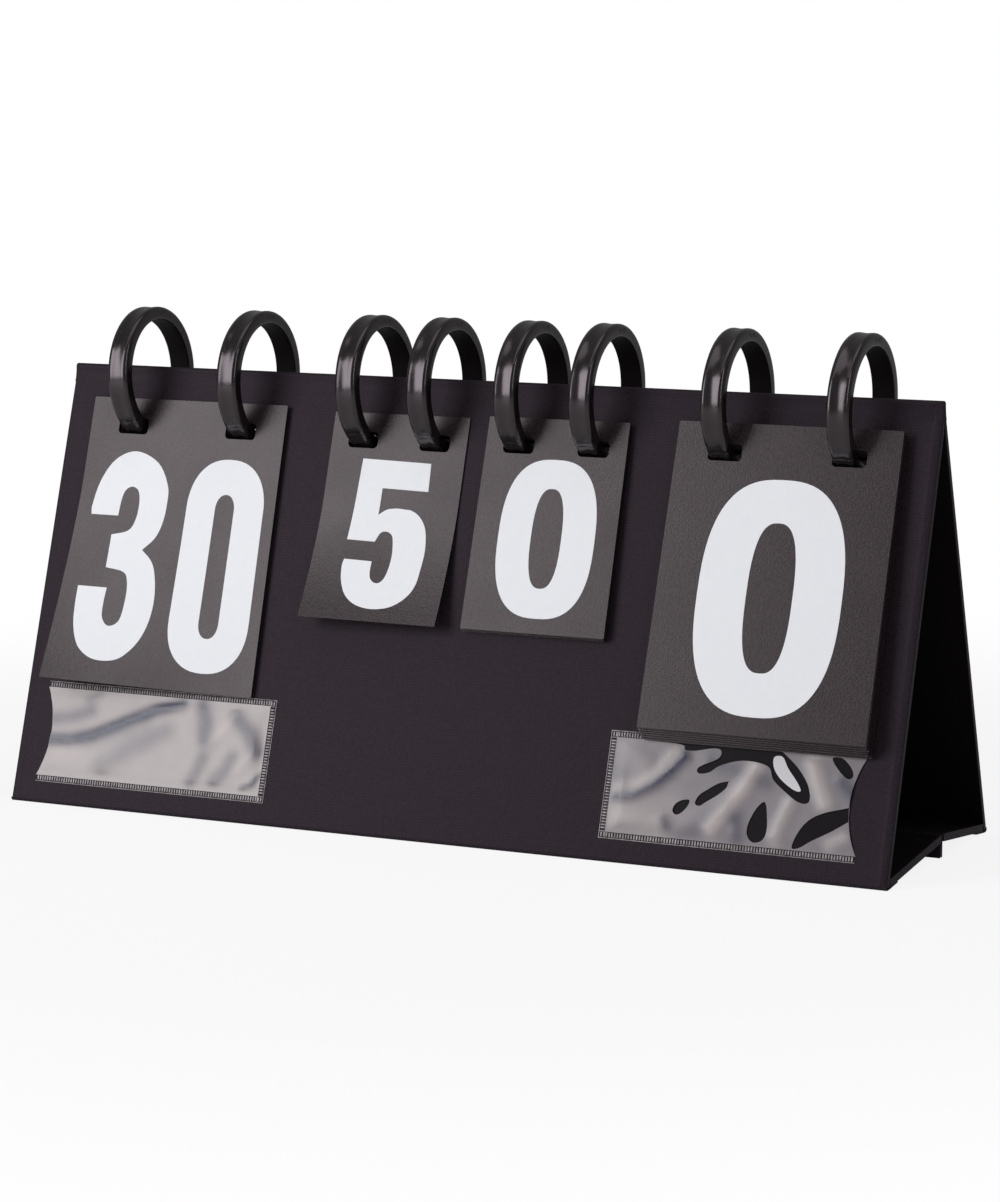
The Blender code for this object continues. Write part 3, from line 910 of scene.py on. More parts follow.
@dataclass
class Heel:
    """The cloth round a panel's foot, which runs in under the base half."""

    board: Board
    side: Side
    label: str
    bodies: tuple[str, str]
    panel: str
    height: float = 1.65 * MM
    cloth: float = 0.45 * MM
    corner: float = 1.2 * MM
    steps: int = 6
    near: float = 0.01 * MM  # packed points nearer than this share a level
    lead: float = 0.5 * MM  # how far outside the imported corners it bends

    def build(self) -> None:
        """Builds the heel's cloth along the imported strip."""
        node = f"{self.label}_heel_hinge_cloth"
        way, lean, half = self.side.value, self.board.lean, self.board.width / 2
        points = [(way * v.co.y, v.co.z) for v in frame["nodes"][node].data.vertices]
        lap = min(points)
        lap_high = max(z for y, z in points if y < lap[0] + self.near)
        flat = min(y for y, z in points if z < self.near)
        start = self.board.half_depth - self.height * math.tan(lean)
        turn = math.pi / 2 + lean
        centre = self.board.half_depth - self.corner / math.tan((math.pi - turn) / 2)
        section = []
        for radius, level in ((self.corner, 0.0), (self.corner - self.cloth, self.cloth)):
            line = [(start - level * math.cos(lean), self.height - level * math.sin(lean))]
            for step in range(self.steps + 1):
                angle = lean - turn * step / self.steps
                line.append((centre + radius * math.cos(angle), self.corner + radius * math.sin(angle)))
            section.append(line + [(flat, level), (lap[0], lap_high - self.cloth + level)])
        loop = [(way * y, z) for y, z in section[0] + section[1][::-1]]
        stations = [(x, loop) for x in (-half, *spaced(-half, half, CLOTH_STEP), half)]
        name = f"{self.label}_heel_cloth"
        heel = add_piece(name, section_mesh(name, stations), [BASE_CLOTH], None, [node])
        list(self.bodies)
        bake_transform(heel)
        loop_length(section[0])


@dataclass(frozen=True)
class RingShape:
    """A split ring of moulded plastic: a band with two low rims outside, closed by a snap at one place."""

    outer: float = 27.9 * MM
    inner: float = 22.7 * MM
    width: float = 9.4 * MM
    hollow: float = 0.24 * MM
    shoulder: float = 1.7 * MM
    rounding: float = 0.8 * MM
    floor_steps: int = 6
    corner_steps: int = 5
    turns: int = 120
    sharp: float = 60.0
    seams_at: Pair = (42.0, 222.0)  # degrees from the top: the snap and the hinge
    seam: float = 0.24 * MM
    seam_depth: float = 0.04 * MM
    groove: Sequence[Pair] = ((-2, 0.0), (-1, 1.0), (0, 1.15), (1, 1.0), (2, 0.0))
    groove_clear: float = 3.2  # half seams on each side that have no other station
    bump: float = 0.42 * MM
    bump_sides: int = 8
    bump_heights: Pair = (-0.02 * MM, 0.12 * MM)
    # Each bump's angle from the top, in degrees, and how far out from the band's middle, in mm.
    bumps: Sequence[Pair] = ((89, 0.3), (86, -0.5), (82, 0.4), (79.5, -0.2), (78.5, 0.7))

    def section(self) -> Loop:
        """Draws the band's section.

        Returns:
            Its points, as how far from the ring's middle and along its axis.
        """
        edge, floor = self.width / 2, self.width / 2 - self.shoulder
        shares = [k / self.floor_steps for k in range(-self.floor_steps, self.floor_steps + 1)]
        outside = [(self.outer - self.hollow * (1 - share**2) ** 2, share * floor) for share in shares]
        corners = []
        for centre, radius, first in ((self.outer - self.shoulder, self.shoulder, 90),
                                      (self.inner + self.rounding, self.rounding, 0)):
            for k in range(self.corner_steps + 1):
                turn = math.radians(first - 90 * k / self.corner_steps)
                corners.append((centre + radius * math.sin(turn), edge - radius * (1 - math.cos(turn))))
        return outside + corners + [(r, -x) for r, x in reversed(corners)]

    def angles(self) -> list[Pair]:
        """Lists the band's stations, closer at the snap and the hinge.

        Returns:
            Each station's angle and how deep its groove is.
        """
        stations = [(2 * math.pi * k / self.turns, 0.0) for k in range(self.turns)]
        step = self.seam / self.outer / 2
        for middle in map(math.radians, self.seams_at):
            stations = [s for s in stations if abs(s[0] - middle) > self.groove_clear * step]
            stations += [(middle + k * step, depth * self.seam_depth) for k, depth in self.groove]
        return sorted(stations)

    def mesh(self, name: str) -> Mesh:
        """Turns the section round the ring's axis, which is X, and sets low moulded bumps on its side.

        Args:
            name: The mesh's name.

        Returns:
            The ring about its own middle.
        """
        section, stations = self.section(), self.angles()
        middle = (self.outer + self.inner) / 2
        points, faces = [], []
        for angle, depth in stations:
            for r, x in section:
                away = Vector((r - middle, x))
                drawn = away * (1 - depth / away.length) if r > middle else away
                radius = middle + drawn[0]
                points.append((drawn[1], radius * math.cos(angle), radius * math.sin(angle)))
        count, rows = len(section), len(stations)
        for row in range(rows):
            faces += band(row * count, (row + 1) % rows * count, count)
        inside = [int(r < self.inner + self.rounding / 2) for r, _ in section] * rows
        sides = self.bump_sides
        for angle, across in self.bumps:
            first, radius = len(points), middle + across * MM
            y, z = radius * math.cos(math.radians(angle)), radius * math.sin(math.radians(angle))
            for height in self.bump_heights:
                for turn in (2 * math.pi / sides * k for k in range(sides)):
                    points.append((self.width / 2 + height, y + self.bump * math.cos(turn),
                                   z + self.bump * math.sin(turn)))
            faces += [list(range(first, first + sides)), list(range(first + sides, first + 2 * sides))]
            faces += band(first, first + sides, sides)
        mesh = mesh_of(name, points, faces, self.sharp)
        mesh.polygons.foreach_set("material_index", inside + [0] * (len(faces) - len(inside)))
        return mesh


@dataclass
class Rings:
    """The eight rings, each where its packed ring is."""

    shape: RingShape = RingShape()
    count: int = 8

    def build(self) -> None:
        """Builds each ring at its packed ring's middle and lean."""
        for number in range(1, self.count + 1):
            node = f"ring_{number}"
            joint = next(j for j in frame["joints"] if j["name"] == f"{node}_turn")
            low, high = (Vector(corner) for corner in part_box(node))
            turn = Vector((1, 0, 0)).rotation_difference(Vector(joint["axis"]).normalized())
            mesh = self.shape.mesh(f"{node}_band")
            mesh.transform(Matrix.Translation((low + high) / 2) @ turn.to_matrix().to_4x4())
            add_piece(f"{node}_band", mesh, [RING_OUTSIDE, RING_INSIDE], node, [node])


@dataclass(frozen=True)
class Figure:
    """A printed figure: its outline and its holes, in millimetres from its own upper left."""

    outline: tuple
    holes: tuple = ()


@dataclass(frozen=True)
class Oval:
    """A nought's edge: two rounded caps joined by straight sides."""

    width: float
    height: float
    cap: float
    power: float
    inset: tuple = (0.0, 0.0)

    def points(self, steps: int = 14) -> tuple:
        """Draws it as a super-ellipse.

        Args:
            steps: How many parts a quarter has.

        Returns:
            Its corners, all of them close enough to read as a curve.
        """
        half = self.width / 2
        loop = []
        for quarter in range(4):
            for step in range(steps):
                turn = math.radians(90 * (quarter + step / steps))
                c, s = math.cos(turn), math.sin(turn)
                x = math.copysign(abs(c) ** (2 / self.power), c) * half
                y = math.copysign(abs(s) ** (2 / self.power), s) * self.cap
                y += math.copysign(self.height / 2 - self.cap, s)
                loop.append((self.inset[0] + half + x, self.inset[1] + self.height / 2 + y, 1))
        return tuple(loop)


NARROW_NOUGHT = Figure(
    Oval(35.9, 89.2, 22.0, 2.3).points(),
    (Oval(8.9, 60.1, 7.0, 2.2, (13.4, 14.7)).points(),),
)
WIDE_NOUGHT = Figure(
    Oval(58.6, 92.2, 46.1, 2.65).points(20),
    (Oval(18.8, 58.3, 29.15, 2.7, (20.0, 16.9)).points(),),
)
SMALL_NOUGHT = Figure(
    Oval(41.3, 63.7, 31.85, 2.65).points(18),
    (Oval(13.0, 40.0, 20.0, 2.6, (14.1, 11.7)).points(),),
)
NARROW_THREE = Figure((
    (2.1, 27.6, 1), (1.7, 23.6), (3.8, 13.2), (9.6, 3.9), (19.1, 0.0), (30.1, 4.4), (36.0, 13.6),
    (36.9, 21.6), (36.2, 29.6), (33.8, 36.1), (28.8, 41.4, 1), (33.9, 45.9), (36.5, 51.6), (38.1, 60.6),
    (37.7, 69.6), (35.4, 77.6), (31.6, 83.6), (26.6, 87.9), (20.0, 89.2), (13.7, 88.0), (8.1, 83.6),
    (4.6, 75.6), (3.2, 66.6), (2.7, 58.4, 1), (15.9, 58.4, 1), (15.7, 64.6), (16.4, 71.0), (19.8, 74.4),
    (24.2, 71.6), (25.2, 61.6), (24.3, 54.4), (21.6, 51.1), (13.6, 49.8, 1), (13.3, 35.8, 1),
    (20.8, 33.6), (23.4, 28.6), (23.8, 21.6), (22.5, 16.6), (19.4, 15.0), (16.5, 16.6), (15.2, 20.6),
    (14.8, 27.6, 1),
))
SMALL_FIVE = Figure((
    (3.6, 0.0, 1), (34.5, 0.7, 1), (34.9, 12.2, 1), (14.2, 11.7, 1), (14.1, 22.7, 1), (17.8, 20.3),
    (23.4, 19.0), (30.8, 21.2), (35.1, 25.5), (37.0, 30.7), (37.8, 37.2), (37.5, 43.7), (36.6, 51.2),
    (33.2, 56.7), (27.2, 60.7), (19.2, 61.9), (12.0, 60.5), (6.6, 56.7), (3.4, 50.7), (2.3, 44.7),
    (2.7, 41.8, 1), (15.2, 42.1, 1), (15.4, 46.9), (16.6, 49.8), (19.4, 51.1), (21.9, 49.5), (23.2, 45.4),
    (23.6, 39.7), (23.0, 34.7), (21.9, 31.0), (19.4, 29.5), (16.6, 30.1), (14.7, 33.9, 1), (2.1, 33.6, 1),
))
NARROW_TWO = Figure((
    (0.5, 28.0, 1), (1.5, 15.0), (7.0, 4.5), (18.5, 0.0), (30.0, 4.5), (36.0, 14.0), (37.0, 25.0),
    (34.0, 37.0), (27.0, 50.0), (19.0, 62.0), (14.5, 74.0, 1), (36.5, 74.0, 1), (36.5, 89.2, 1),
    (0.0, 89.2, 1), (0.0, 76.0), (4.0, 64.0), (13.0, 49.0), (20.0, 37.0), (23.5, 26.0), (22.5, 18.0),
    (18.5, 15.0), (15.0, 18.0), (14.3, 28.0, 1),
))
NARROW_NINE = Figure(
    ((18.5, 0.0), (30.0, 4.0), (36.0, 14.0), (37.0, 28.0), (37.0, 60.0), (36.0, 74.0), (30.5, 85.0),
     (19.0, 89.2), (7.0, 85.0), (1.5, 75.0), (0.5, 66.0, 1), (14.0, 66.0, 1), (15.2, 72.5), (19.0, 75.0),
     (22.4, 72.0), (23.5, 64.0), (23.5, 53.5, 1), (18.5, 56.0), (11.0, 55.8), (4.5, 51.5), (1.0, 43.0),
     (0.0, 29.0), (1.0, 14.0), (7.0, 4.0)),
    (Oval(9.2, 30.0, 9.0, 2.2, (14.2, 14.0)).points(),),
)
WIDE_ONE = Figure((
    (14.0, 0.0, 1), (32.0, 0.0, 1), (32.0, 92.2, 1), (14.0, 92.2, 1), (14.0, 26.0, 1), (0.0, 30.0, 1),
    (0.0, 15.0, 1), (8.0, 9.0),
))
SMALL_ONE = Figure((
    (10.0, 0.0, 1), (22.5, 0.0, 1), (22.5, 63.7, 1), (10.0, 63.7, 1), (10.0, 18.0, 1), (0.0, 21.0, 1),
    (0.0, 10.5, 1), (6.0, 6.2),
))
SMALL_FOUR = Figure(
    ((20.0, 0.0, 1), (33.5, 0.0, 1), (33.5, 39.5, 1), (39.5, 39.5, 1), (39.5, 50.0, 1), (33.5, 50.0, 1),
     (33.5, 63.7, 1), (21.5, 63.7, 1), (21.5, 50.0, 1), (0.0, 50.0, 1), (0.0, 39.5, 1)),
    (((11.0, 39.5, 1), (21.5, 39.5, 1), (21.5, 15.0, 1)),),
)


@dataclass(frozen=True)
class Print:
    """A figure on a leaf, and where its upper left lies from the middle of the leaf's top edge, in mm."""

    figure: Figure
    across: float
    down: float


@dataclass(frozen=True)
class LeafCut:
    """A leaf's cut: two rounded slots near its top edge."""

    pitch: float
    slot_width: float
    slot_height: float
    slot_drop: float
    slot_rounding: float
    corner: float = 0.5 * MM
    corner_steps: int = 3


SCORE_CUT = LeafCut(pitch=51.0 * MM, slot_width=14.0 * MM, slot_height=6.7 * MM, slot_drop=8.4 * MM,
                    slot_rounding=1.5 * MM)
SET_CUT = LeafCut(pitch=32.4 * MM, slot_width=13.4 * MM, slot_height=6.7 * MM, slot_drop=7.8 * MM,
                  slot_rounding=1.9 * MM)


@dataclass(frozen=True)
class Curl:
    """How a single leaf stands off the board at its foot, having been bent over the rings."""

    lift: float = 0.0
    start: float = 0.0  # the share of its height from which it curls
    power: float = 1.0
    to_left: float = 0.0  # how much less its right edge stands off, as a share
    spread: float = 1.0

    def at(self, across: float, down: float) -> float:
        """Gives how far the leaf stands off.

        Args:
            across: The share of its width from its right edge.
            down: The share of its height from its top edge.

        Returns:
            How far, in metres.
        """
        if self.lift == 0.0 or down <= self.start:
            return 0.0
        rise = ((down - self.start) / (1 - self.start)) ** self.power
        side = 1 - self.to_left + self.to_left * max(0.0, min(1.0, across)) ** self.spread
        return self.lift * rise * side


FLAT = Curl()
LONE_CURL = Curl(lift=11.0 * MM, start=0.3, power=1.45, to_left=1.0, spread=1.5)
SET_CURL = Curl(lift=8.0 * MM, start=0.42, power=1.6, to_left=0.18, spread=1.0)


@dataclass
class Leaf:
    """A leaf, or one of a bundle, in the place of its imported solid."""

    board: Board
    side: Side
    node: str
    cut: LeafCut
    place_in: tuple[int, int] = (0, 1)
    curl: Curl = FLAT
    shift: float = 0.0
    skew: float = 0.0
    longer: float = 0.0
    ink: float = 0.02 * MM
    bundled: float = 0.1 * MM
    near: float = 0.05 * MM  # packed points nearer than this to an edge are on it
    flat_step: float = 60.0 * MM
    curled_step: float = 5.0 * MM

    def __post_init__(self) -> None:
        """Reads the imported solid's place on its panel."""
        low, high = self.board.spread(self.node, self.side)
        self.left, self.right, self.top, self.foot = low.x, high.x, low.y, high.y
        self.middle = (self.left + self.right) / 2
        self.step = self.curled_step if self.curl.lift else self.flat_step
        points = self.board.local(self.node, self.side)
        at_top = [p.z for p in points if p.y < self.top + self.near]
        at_foot = [p.z for p in points if p.y > self.foot - self.near]
        index, count = self.place_in
        self.thickness = max(at_top) - min(at_top) if count == 1 else self.bundled
        share = index / max(1, count - 1)
        self.at_top, self.at_foot = (
            min(outs) + share * (max(outs) - min(outs) - self.thickness) for outs in (at_top, at_foot)
        )

    def lie(self, x: float, down: float, height: float) -> Vector:
        """Finds a point on the leaf or a little over it.

        Args:
            x: Its place along the board.
            down: How far down the panel.
            height: How far over the leaf's lower face.

        Returns:
            The point.
        """
        share = (down - self.top) / (self.foot - self.top)
        across = (self.right - x) / (self.right - self.left)
        out = self.at_top + share * (self.at_foot - self.at_top) + height + self.curl.at(across, share)
        lean = self.shift + self.skew * share * max(0.0, 1 - across)
        return self.board.place(self.side, x + lean, down, out)

    def card(self, name: str) -> Mesh:
        """Cuts the leaf.

        Args:
            name: The mesh's name.

        Returns:
            The leaf, in place.
        """
        cut, top = self.cut, self.top + self.cut.slot_drop
        foot = self.foot + self.longer
        outline = rounded_box(self.left, self.right, self.top, foot, cut.corner, cut.corner_steps)
        holes = [
            rounded_box(centre - cut.slot_width / 2, centre + cut.slot_width / 2, top, top + cut.slot_height,
                        cut.slot_rounding)
            for centre in (self.middle - cut.pitch / 2, self.middle + cut.pitch / 2)
        ]
        cuts = (spaced(self.left, self.right, self.step), spaced(self.top, self.foot, self.step))
        # the cut edge takes the leaf's second finish, darkened as painted shade
        return sheet_mesh(name, outline, holes, cuts, (0.0, self.thickness), self.lie, rim_finish=1)

    def printed(self, name: str, prints: Sequence[Print]) -> Mesh:
        """Prints figures on the face that is read, which lies against the panel once the leaf is turned over.

        Args:
            name: The mesh's name.
            prints: The figures.

        Returns:
            The ink, in place.
        """
        gap = self.ink / 2
        depths = (self.thickness + gap, self.thickness + gap + self.ink)
        if self.side is Side.BACK:
            depths = (-gap - self.ink, -gap)
        meshes = []
        for number, item in enumerate(prints):
            x, down = self.middle + item.across * MM, self.top + item.down * MM
            loops = [[(x + a * MM, down + b * MM) for a, b in flowing(loop)]
                     for loop in (item.figure.outline, *item.figure.holes)]
            cuts = tuple(spaced(min(line), max(line), self.step) for line in zip(*loops[0]))
            meshes.append(sheet_mesh(f"{name}_{number}", loops[0], loops[1:], cuts, depths, self.lie))
        return join_meshes(name, meshes)


@dataclass
class Leaves:
    """The four stacks of leaves: the left side's are turned over to the back, all but the last."""

    board: Board
    seed: int = 11
    per_bundle: int = 5
    bundles: int = 6
    set_leaves: int = 6
    stray: float = 0.35 * MM
    ragged: float = 0.3  # how much of the stray the leaves' feet have
    step_down: float = 0.4 * MM
    skews: Pair = (0.4, 1.6)  # mm, the least and the most in a bundle
    lone_skew: float = 2.4 * MM
    top_skew: float = 1.2 * MM
    under_skew: float = 0.9 * MM

    def hang(self, leaf: Leaf, sheet: str, card: Mesh, body: str, prints: Sequence[Print]) -> None:
        """Adds a leaf or a bundle, and what its outermost leaf says.

        Args:
            leaf: The outermost leaf.
            sheet: The piece's name.
            card: Its mesh.
            body: The body that it rides on.
            prints: The figures.
        """
        add_piece(sheet, card, [LEAF_FACE, SHADED_LEAF_EDGE], body, [leaf.node])
        if prints:
            name = f"{leaf.node}_print"
            add_piece(name, leaf.printed(name, prints), [INK], body)

    def single(self, leaf: Leaf, body: str, prints: Sequence[Print] = ()) -> None:
        """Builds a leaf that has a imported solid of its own, with its figures."""
        self.hang(leaf, f"{leaf.node}_sheet", leaf.card(f"{leaf.node}_sheet"), body, prints)

    def bundle(
        self, name: str, side: Side, body: str, under: int, count: int, prints: Sequence[Print],
    ) -> None:
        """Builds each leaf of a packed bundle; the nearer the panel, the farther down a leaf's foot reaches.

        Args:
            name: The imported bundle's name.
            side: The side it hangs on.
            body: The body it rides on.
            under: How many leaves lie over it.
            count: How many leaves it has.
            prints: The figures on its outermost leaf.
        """
        draw = random.Random(f"{self.seed}{name}")
        meshes = []
        for index in range(count):
            stray = draw.uniform(-self.stray, self.stray)
            depth = under + count - 1 - index
            longer = depth // self.per_bundle * self.step_down + draw.uniform(0, self.stray) * self.ragged
            skew = draw.uniform(*self.skews) * MM
            leaf = Leaf(self.board, side, name, SCORE_CUT, (index, count), FLAT, stray, skew, longer)
            meshes.append(leaf.card(f"{name}_{index}"))
        self.hang(leaf, f"{name}_sheets", join_meshes(f"{name}_sheets", meshes), body, prints)

    def build(self) -> None:
        """Builds the leaves with a joint of their own, then the other set leaves and the score bundles."""
        front, back = Side.FRONT, Side.BACK
        thirty = (Print(NARROW_THREE, -41.2, 22.4), Print(NARROW_NOUGHT, 5.0, 23.8))
        twenty_nine = (Print(NARROW_TWO, -41.2, 22.9), Print(NARROW_NINE, 4.4, 22.9))
        for side, name, cut, curl, skew, prints in (
            (front, "left_score_leaf_30", SCORE_CUT, LONE_CURL, self.lone_skew, thirty),
            (back, "left_score_leaf_29", SCORE_CUT, FLAT, 0.0, twenty_nine),
            (front, "right_score_leaf_0", SCORE_CUT, FLAT, self.top_skew, (Print(WIDE_NOUGHT, -29.0, 21.4),)),
            (front, "left_set_leaf_5", SET_CUT, SET_CURL, 0.0, (Print(SMALL_FIVE, -18.6, 18.8),)),
            (back, "left_set_leaf_4", SET_CUT, FLAT, 0.0, (Print(SMALL_FOUR, -19.7, 16.3),)),
            (front, "right_set_leaf_0", SET_CUT, FLAT, self.top_skew, (Print(SMALL_NOUGHT, -19.7, 16.3),)),
        ):
            self.single(Leaf(self.board, side, name, cut, curl=curl, skew=skew), name, prints)
        for value in range(self.set_leaves - 2):
            self.single(Leaf(self.board, back, f"left_set_leaf_{value}", SET_CUT), "back_panel")
        for value in range(1, self.set_leaves):
            prints = (Print(SMALL_ONE, -12.0, 16.3),) if value == 1 else ()
            leaf = Leaf(self.board, front, f"right_set_leaf_{value}", SET_CUT, skew=self.under_skew)
            self.single(leaf, "root", prints)
        for number in range(1, self.bundles + 1):
            under = (self.bundles - number) * self.per_bundle
            count = self.per_bundle - (number == self.bundles)
            self.bundle(f"left_score_bundle_{number}", back, "back_panel", under, count, ())
            prints = (Print(WIDE_ONE, -16.0, 21.4),) if number == 1 else ()
            under = (number - 1) * self.per_bundle
            self.bundle(f"right_score_bundle_{number}", front, "root", under, self.per_bundle, prints)


@dataclass(frozen=True)
class Crease:
    """A soft crease in the film along a line of places, in mm: how wide and how high it is, and how much
    painted shade it gives the film; a negative amount is painted light.
    """

    line: Sequence[Pair]
    width: float
    height: float
    shade: float

    def share(self, x: float, down: float) -> float:
        """Gives how much of the crease lies at a place.

        Args:
            x: Along the board, in mm.
            down: Down the panel, in mm.

        Returns:
            From 1 on its line to 0 far from it.
        """
        nearest = math.inf
        for (ax, ay), (bx, by) in zip(self.line, self.line[1:]):
            run, rise = bx - ax, by - ay
            along = ((x - ax) * run + (down - ay) * rise) / (run * run + rise * rise)
            along = max(0.0, min(1.0, along))
            nearest = min(nearest, math.hypot(x - ax - along * run, down - ay - along * rise))
        return math.exp(-((nearest / self.width) ** 2))


@dataclass
class NameWindow:
    """A pocket of clear film for a name, its edge welded to the cover on three sides."""

    board: Board
    label: str
    way: int
    creases: Sequence[Crease]
    # painted shade over the whole film, to which the creases add theirs
    shade: float = 0.1
    clings: Sequence[Sequence[tuple]] = ()  # where the film clings to the cloth, in mm
    glint: Sequence[tuple] = ()  # where a fold's painted highlight lies, in mm
    pale_until: float = 1.0  # the share of the upper weld that is drawn; past it the ribs are left out, so the cloth's dark stands for the stack's shade
    cut_back: float = 0.0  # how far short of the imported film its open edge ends
    film: float = 0.12 * MM
    over_cloth: float = 0.2 * MM
    loose: float = 0.25  # mm, how far the film stands off between its folds
    free_from: float = 5.0 * MM  # how far from the welds it is free of them
    deepen: float = 1.25  # how much more painted shade a fold gets than its crease says
    step: float = 1.6 * MM
    glint_step: float = 2.0 * MM
    cling_height: float = 0.05 * MM
    glint_height: float = 0.5 * MM
    sharp: float = 60.0
    edge: float = 2.9 * MM
    lap: float = 0.35 * MM
    bow: float = 4.6 * MM
    bow_steps: int = 12
    rung_pitch: float = 1.15 * MM
    rung_width: float = 0.6 * MM
    rail_width: float = 0.28 * MM
    rail_gap: float = 0.3 * MM
    rail_height: float = 0.2 * MM
    pressed: Pair = (0.7, 1.15)  # the least and the most of that height
    weld_low: float = 0.04 * MM
    weld_edge: Pair = (0.05 * MM, 0.08 * MM)  # how far down and in a bar's edge is softened
    weld_sharp: float = 40.0

    def __post_init__(self) -> None:
        """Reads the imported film's place."""
        low, high = self.board.spread(f"{self.label}_window_film", Side.FRONT)
        self.inner, self.outer = (low.x, high.x) if self.way > 0 else (high.x, low.x)
        self.top, self.foot = low.y, high.y

    def rise(self, x: float, down: float) -> float:
        """Gives how far the film stands off the cloth.

        Args:
            x: A place along the board.
            down: How far down the panel.

        Returns:
            The height, which falls to nothing at the welds.
        """
        to_weld = min(down - self.top, self.foot - down, abs(x - self.inner)) - self.edge
        free = max(0.0, min(1.0, to_weld / self.free_from))
        free = free * free * (3 - 2 * free)
        total = sum(crease.height * crease.share(x / MM, down / MM) for crease in self.creases)
        return self.over_cloth + free * (total + self.loose) * MM

    def lie(self, x: float, down: float, height: float) -> Vector:
        """The point at a place on the film and a height over its lower face."""
        return self.board.place(Side.FRONT, x, down, self.rise(x, down) + height)

    def cling(self, x: float, down: float, height: float) -> Vector:
        """The point at a place on the cloth and a height over film that clings to it."""
        return self.board.place(Side.FRONT, x, down, self.cling_height + height)

    def caught(self, x: float, down: float, height: float) -> Vector:
        """The point at a place on the fold that carries the painted highlight."""
        return self.cling(x, down, height + self.glint_height)

    def bowed(self) -> Loop:
        """Draws the film inside its welds; the pocket's open edge is cut in a bow.

        Returns:
            The film's outline.
        """
        inset = self.edge - self.lap
        side, top, foot = self.inner + self.way * inset, self.top + inset, self.foot - inset
        outline = [(side, top), (side, foot)]
        for step in range(self.bow_steps + 1):
            share = 1 - 2 * step / self.bow_steps
            x = self.outer - self.way * (self.cut_back + self.bow * (1 - share**2))
            outline.append((x, (top + foot) / 2 + share * (foot - top) / 2))
        return outline

    def shade_in(self, mesh: Mesh) -> None:
        """Stores the painted shade, and painted light, that the folds give the film at each point.

        Args:
            mesh: The film.
        """
        layer = mesh.attributes.new(SHADE, "FLOAT", "POINT")
        for vert, item in zip(mesh.vertices, layer.data):
            at = self.board.flat(Side.FRONT, vert.co)
            shares = (self.deepen * c.shade * c.share(at.x / MM, at.y / MM) for c in self.creases)
            item.value = self.shade + sum(shares)

    def bars(self) -> list[tuple[float, float, float, float]]:
        """Lists the weld's rails and rungs along the three closed edges.

        Returns:
            Each bar's low and high x, and its low and high place down the panel.
        """
        low_x, high_x = sorted((self.inner, self.outer - self.way * self.cut_back))
        far, half = self.edge - self.rail_width, self.rung_width / 2
        rung = (self.rail_width + self.rail_gap, far - self.rail_gap)
        pale = low_x + (high_x - low_x) * self.pale_until
        bars = []
        for row, end in ((self.top, pale), (self.foot - self.edge, high_x)):
            bars += [(low_x, end, row + shift, row + shift + self.rail_width) for shift in (0.0, far)]
            rungs = spaced(low_x, end, self.rung_pitch)
            bars += [(x - half, x + half, row + rung[0], row + rung[1]) for x in rungs]
        side = self.inner if self.way > 0 else self.inner - self.edge
        bars += [(side + shift, side + shift + self.rail_width, self.top, self.foot) for shift in (0.0, far)]
        for down in spaced(self.top + self.edge, self.foot - self.edge, self.rung_pitch):
            bars.append((side + rung[0], side + rung[1], down - half, down + half))
        return bars

    def ladder(self) -> Mesh:
        """Makes the weld's pressed ladder, each bar with softened edges and its own height.

        Returns:
            The ladder, in place.
        """
        points, faces = [], []
        draw = random.Random(self.label)
        drop, inset = self.weld_edge
        for x0, x1, d0, d1 in self.bars():
            first = len(points)
            high = self.weld_low + self.rail_height * draw.uniform(*self.pressed)
            for out, way_in in ((self.weld_low, 0.0), (high - drop, 0.0), (high, inset)):
                for x, down in ((x0 + way_in, d0 + way_in), (x1 - way_in, d0 + way_in),
                                (x1 - way_in, d1 - way_in), (x0 + way_in, d1 - way_in)):
                    points.append(self.board.place(Side.FRONT, x, down, out))
            faces += [list(range(first, first + 4)), list(range(first + 8, first + 12))]
            faces += band(first, first + 4, 4) + band(first + 4, first + 8, 4)
        return mesh_of(f"{self.label}_window_weld", points, faces, self.weld_sharp)

    def build(self) -> None:
        """Builds the film with its folds' painted shade, where it clings, a fold's painted highlight, and its
        welded edge.
        """
        name, depths = f"{self.label}_window_sheet", (0.0, self.film)
        loops = [[(x * MM, down * MM) for x, down in flowing(cling)] for cling in self.clings]
        low_x, high_x = sorted((self.inner, self.outer))
        cuts = (spaced(low_x, high_x, self.step), spaced(self.top, self.foot, self.step))
        mesh = sheet_mesh(name, self.bowed(), loops, cuts, depths, self.lie, self.sharp)
        self.shade_in(mesh)
        add_piece(name, mesh, [FILM], "root", [f"{self.label}_window_film"])
        if loops:
            patches = [sheet_mesh(f"{name}_{i}", loop, [], ([], []), depths, self.cling)
                       for i, loop in enumerate(loops)]
            add_piece(f"{name}_clinging", join_meshes(f"{name}_clinging", patches), [CLINGING_AND_SHADE], "root")
        # a fold's painted highlight, as a pale opaque piece
        if self.glint:
            loop = [(x * MM, down * MM) for x, down in flowing(self.glint)]
            cuts = (spaced(min(x for x, _ in loop), max(x for x, _ in loop), self.glint_step), [])
            glint = sheet_mesh(f"{name}_glint", loop, [], cuts, depths, self.caught)
            add_piece(f"{name}_fold", glint, [PAINTED_GLINT], "root")
        weld = self.ladder()
        add_piece(weld.name, weld, [WELD], "root", [f"{self.label}_window_binding"])


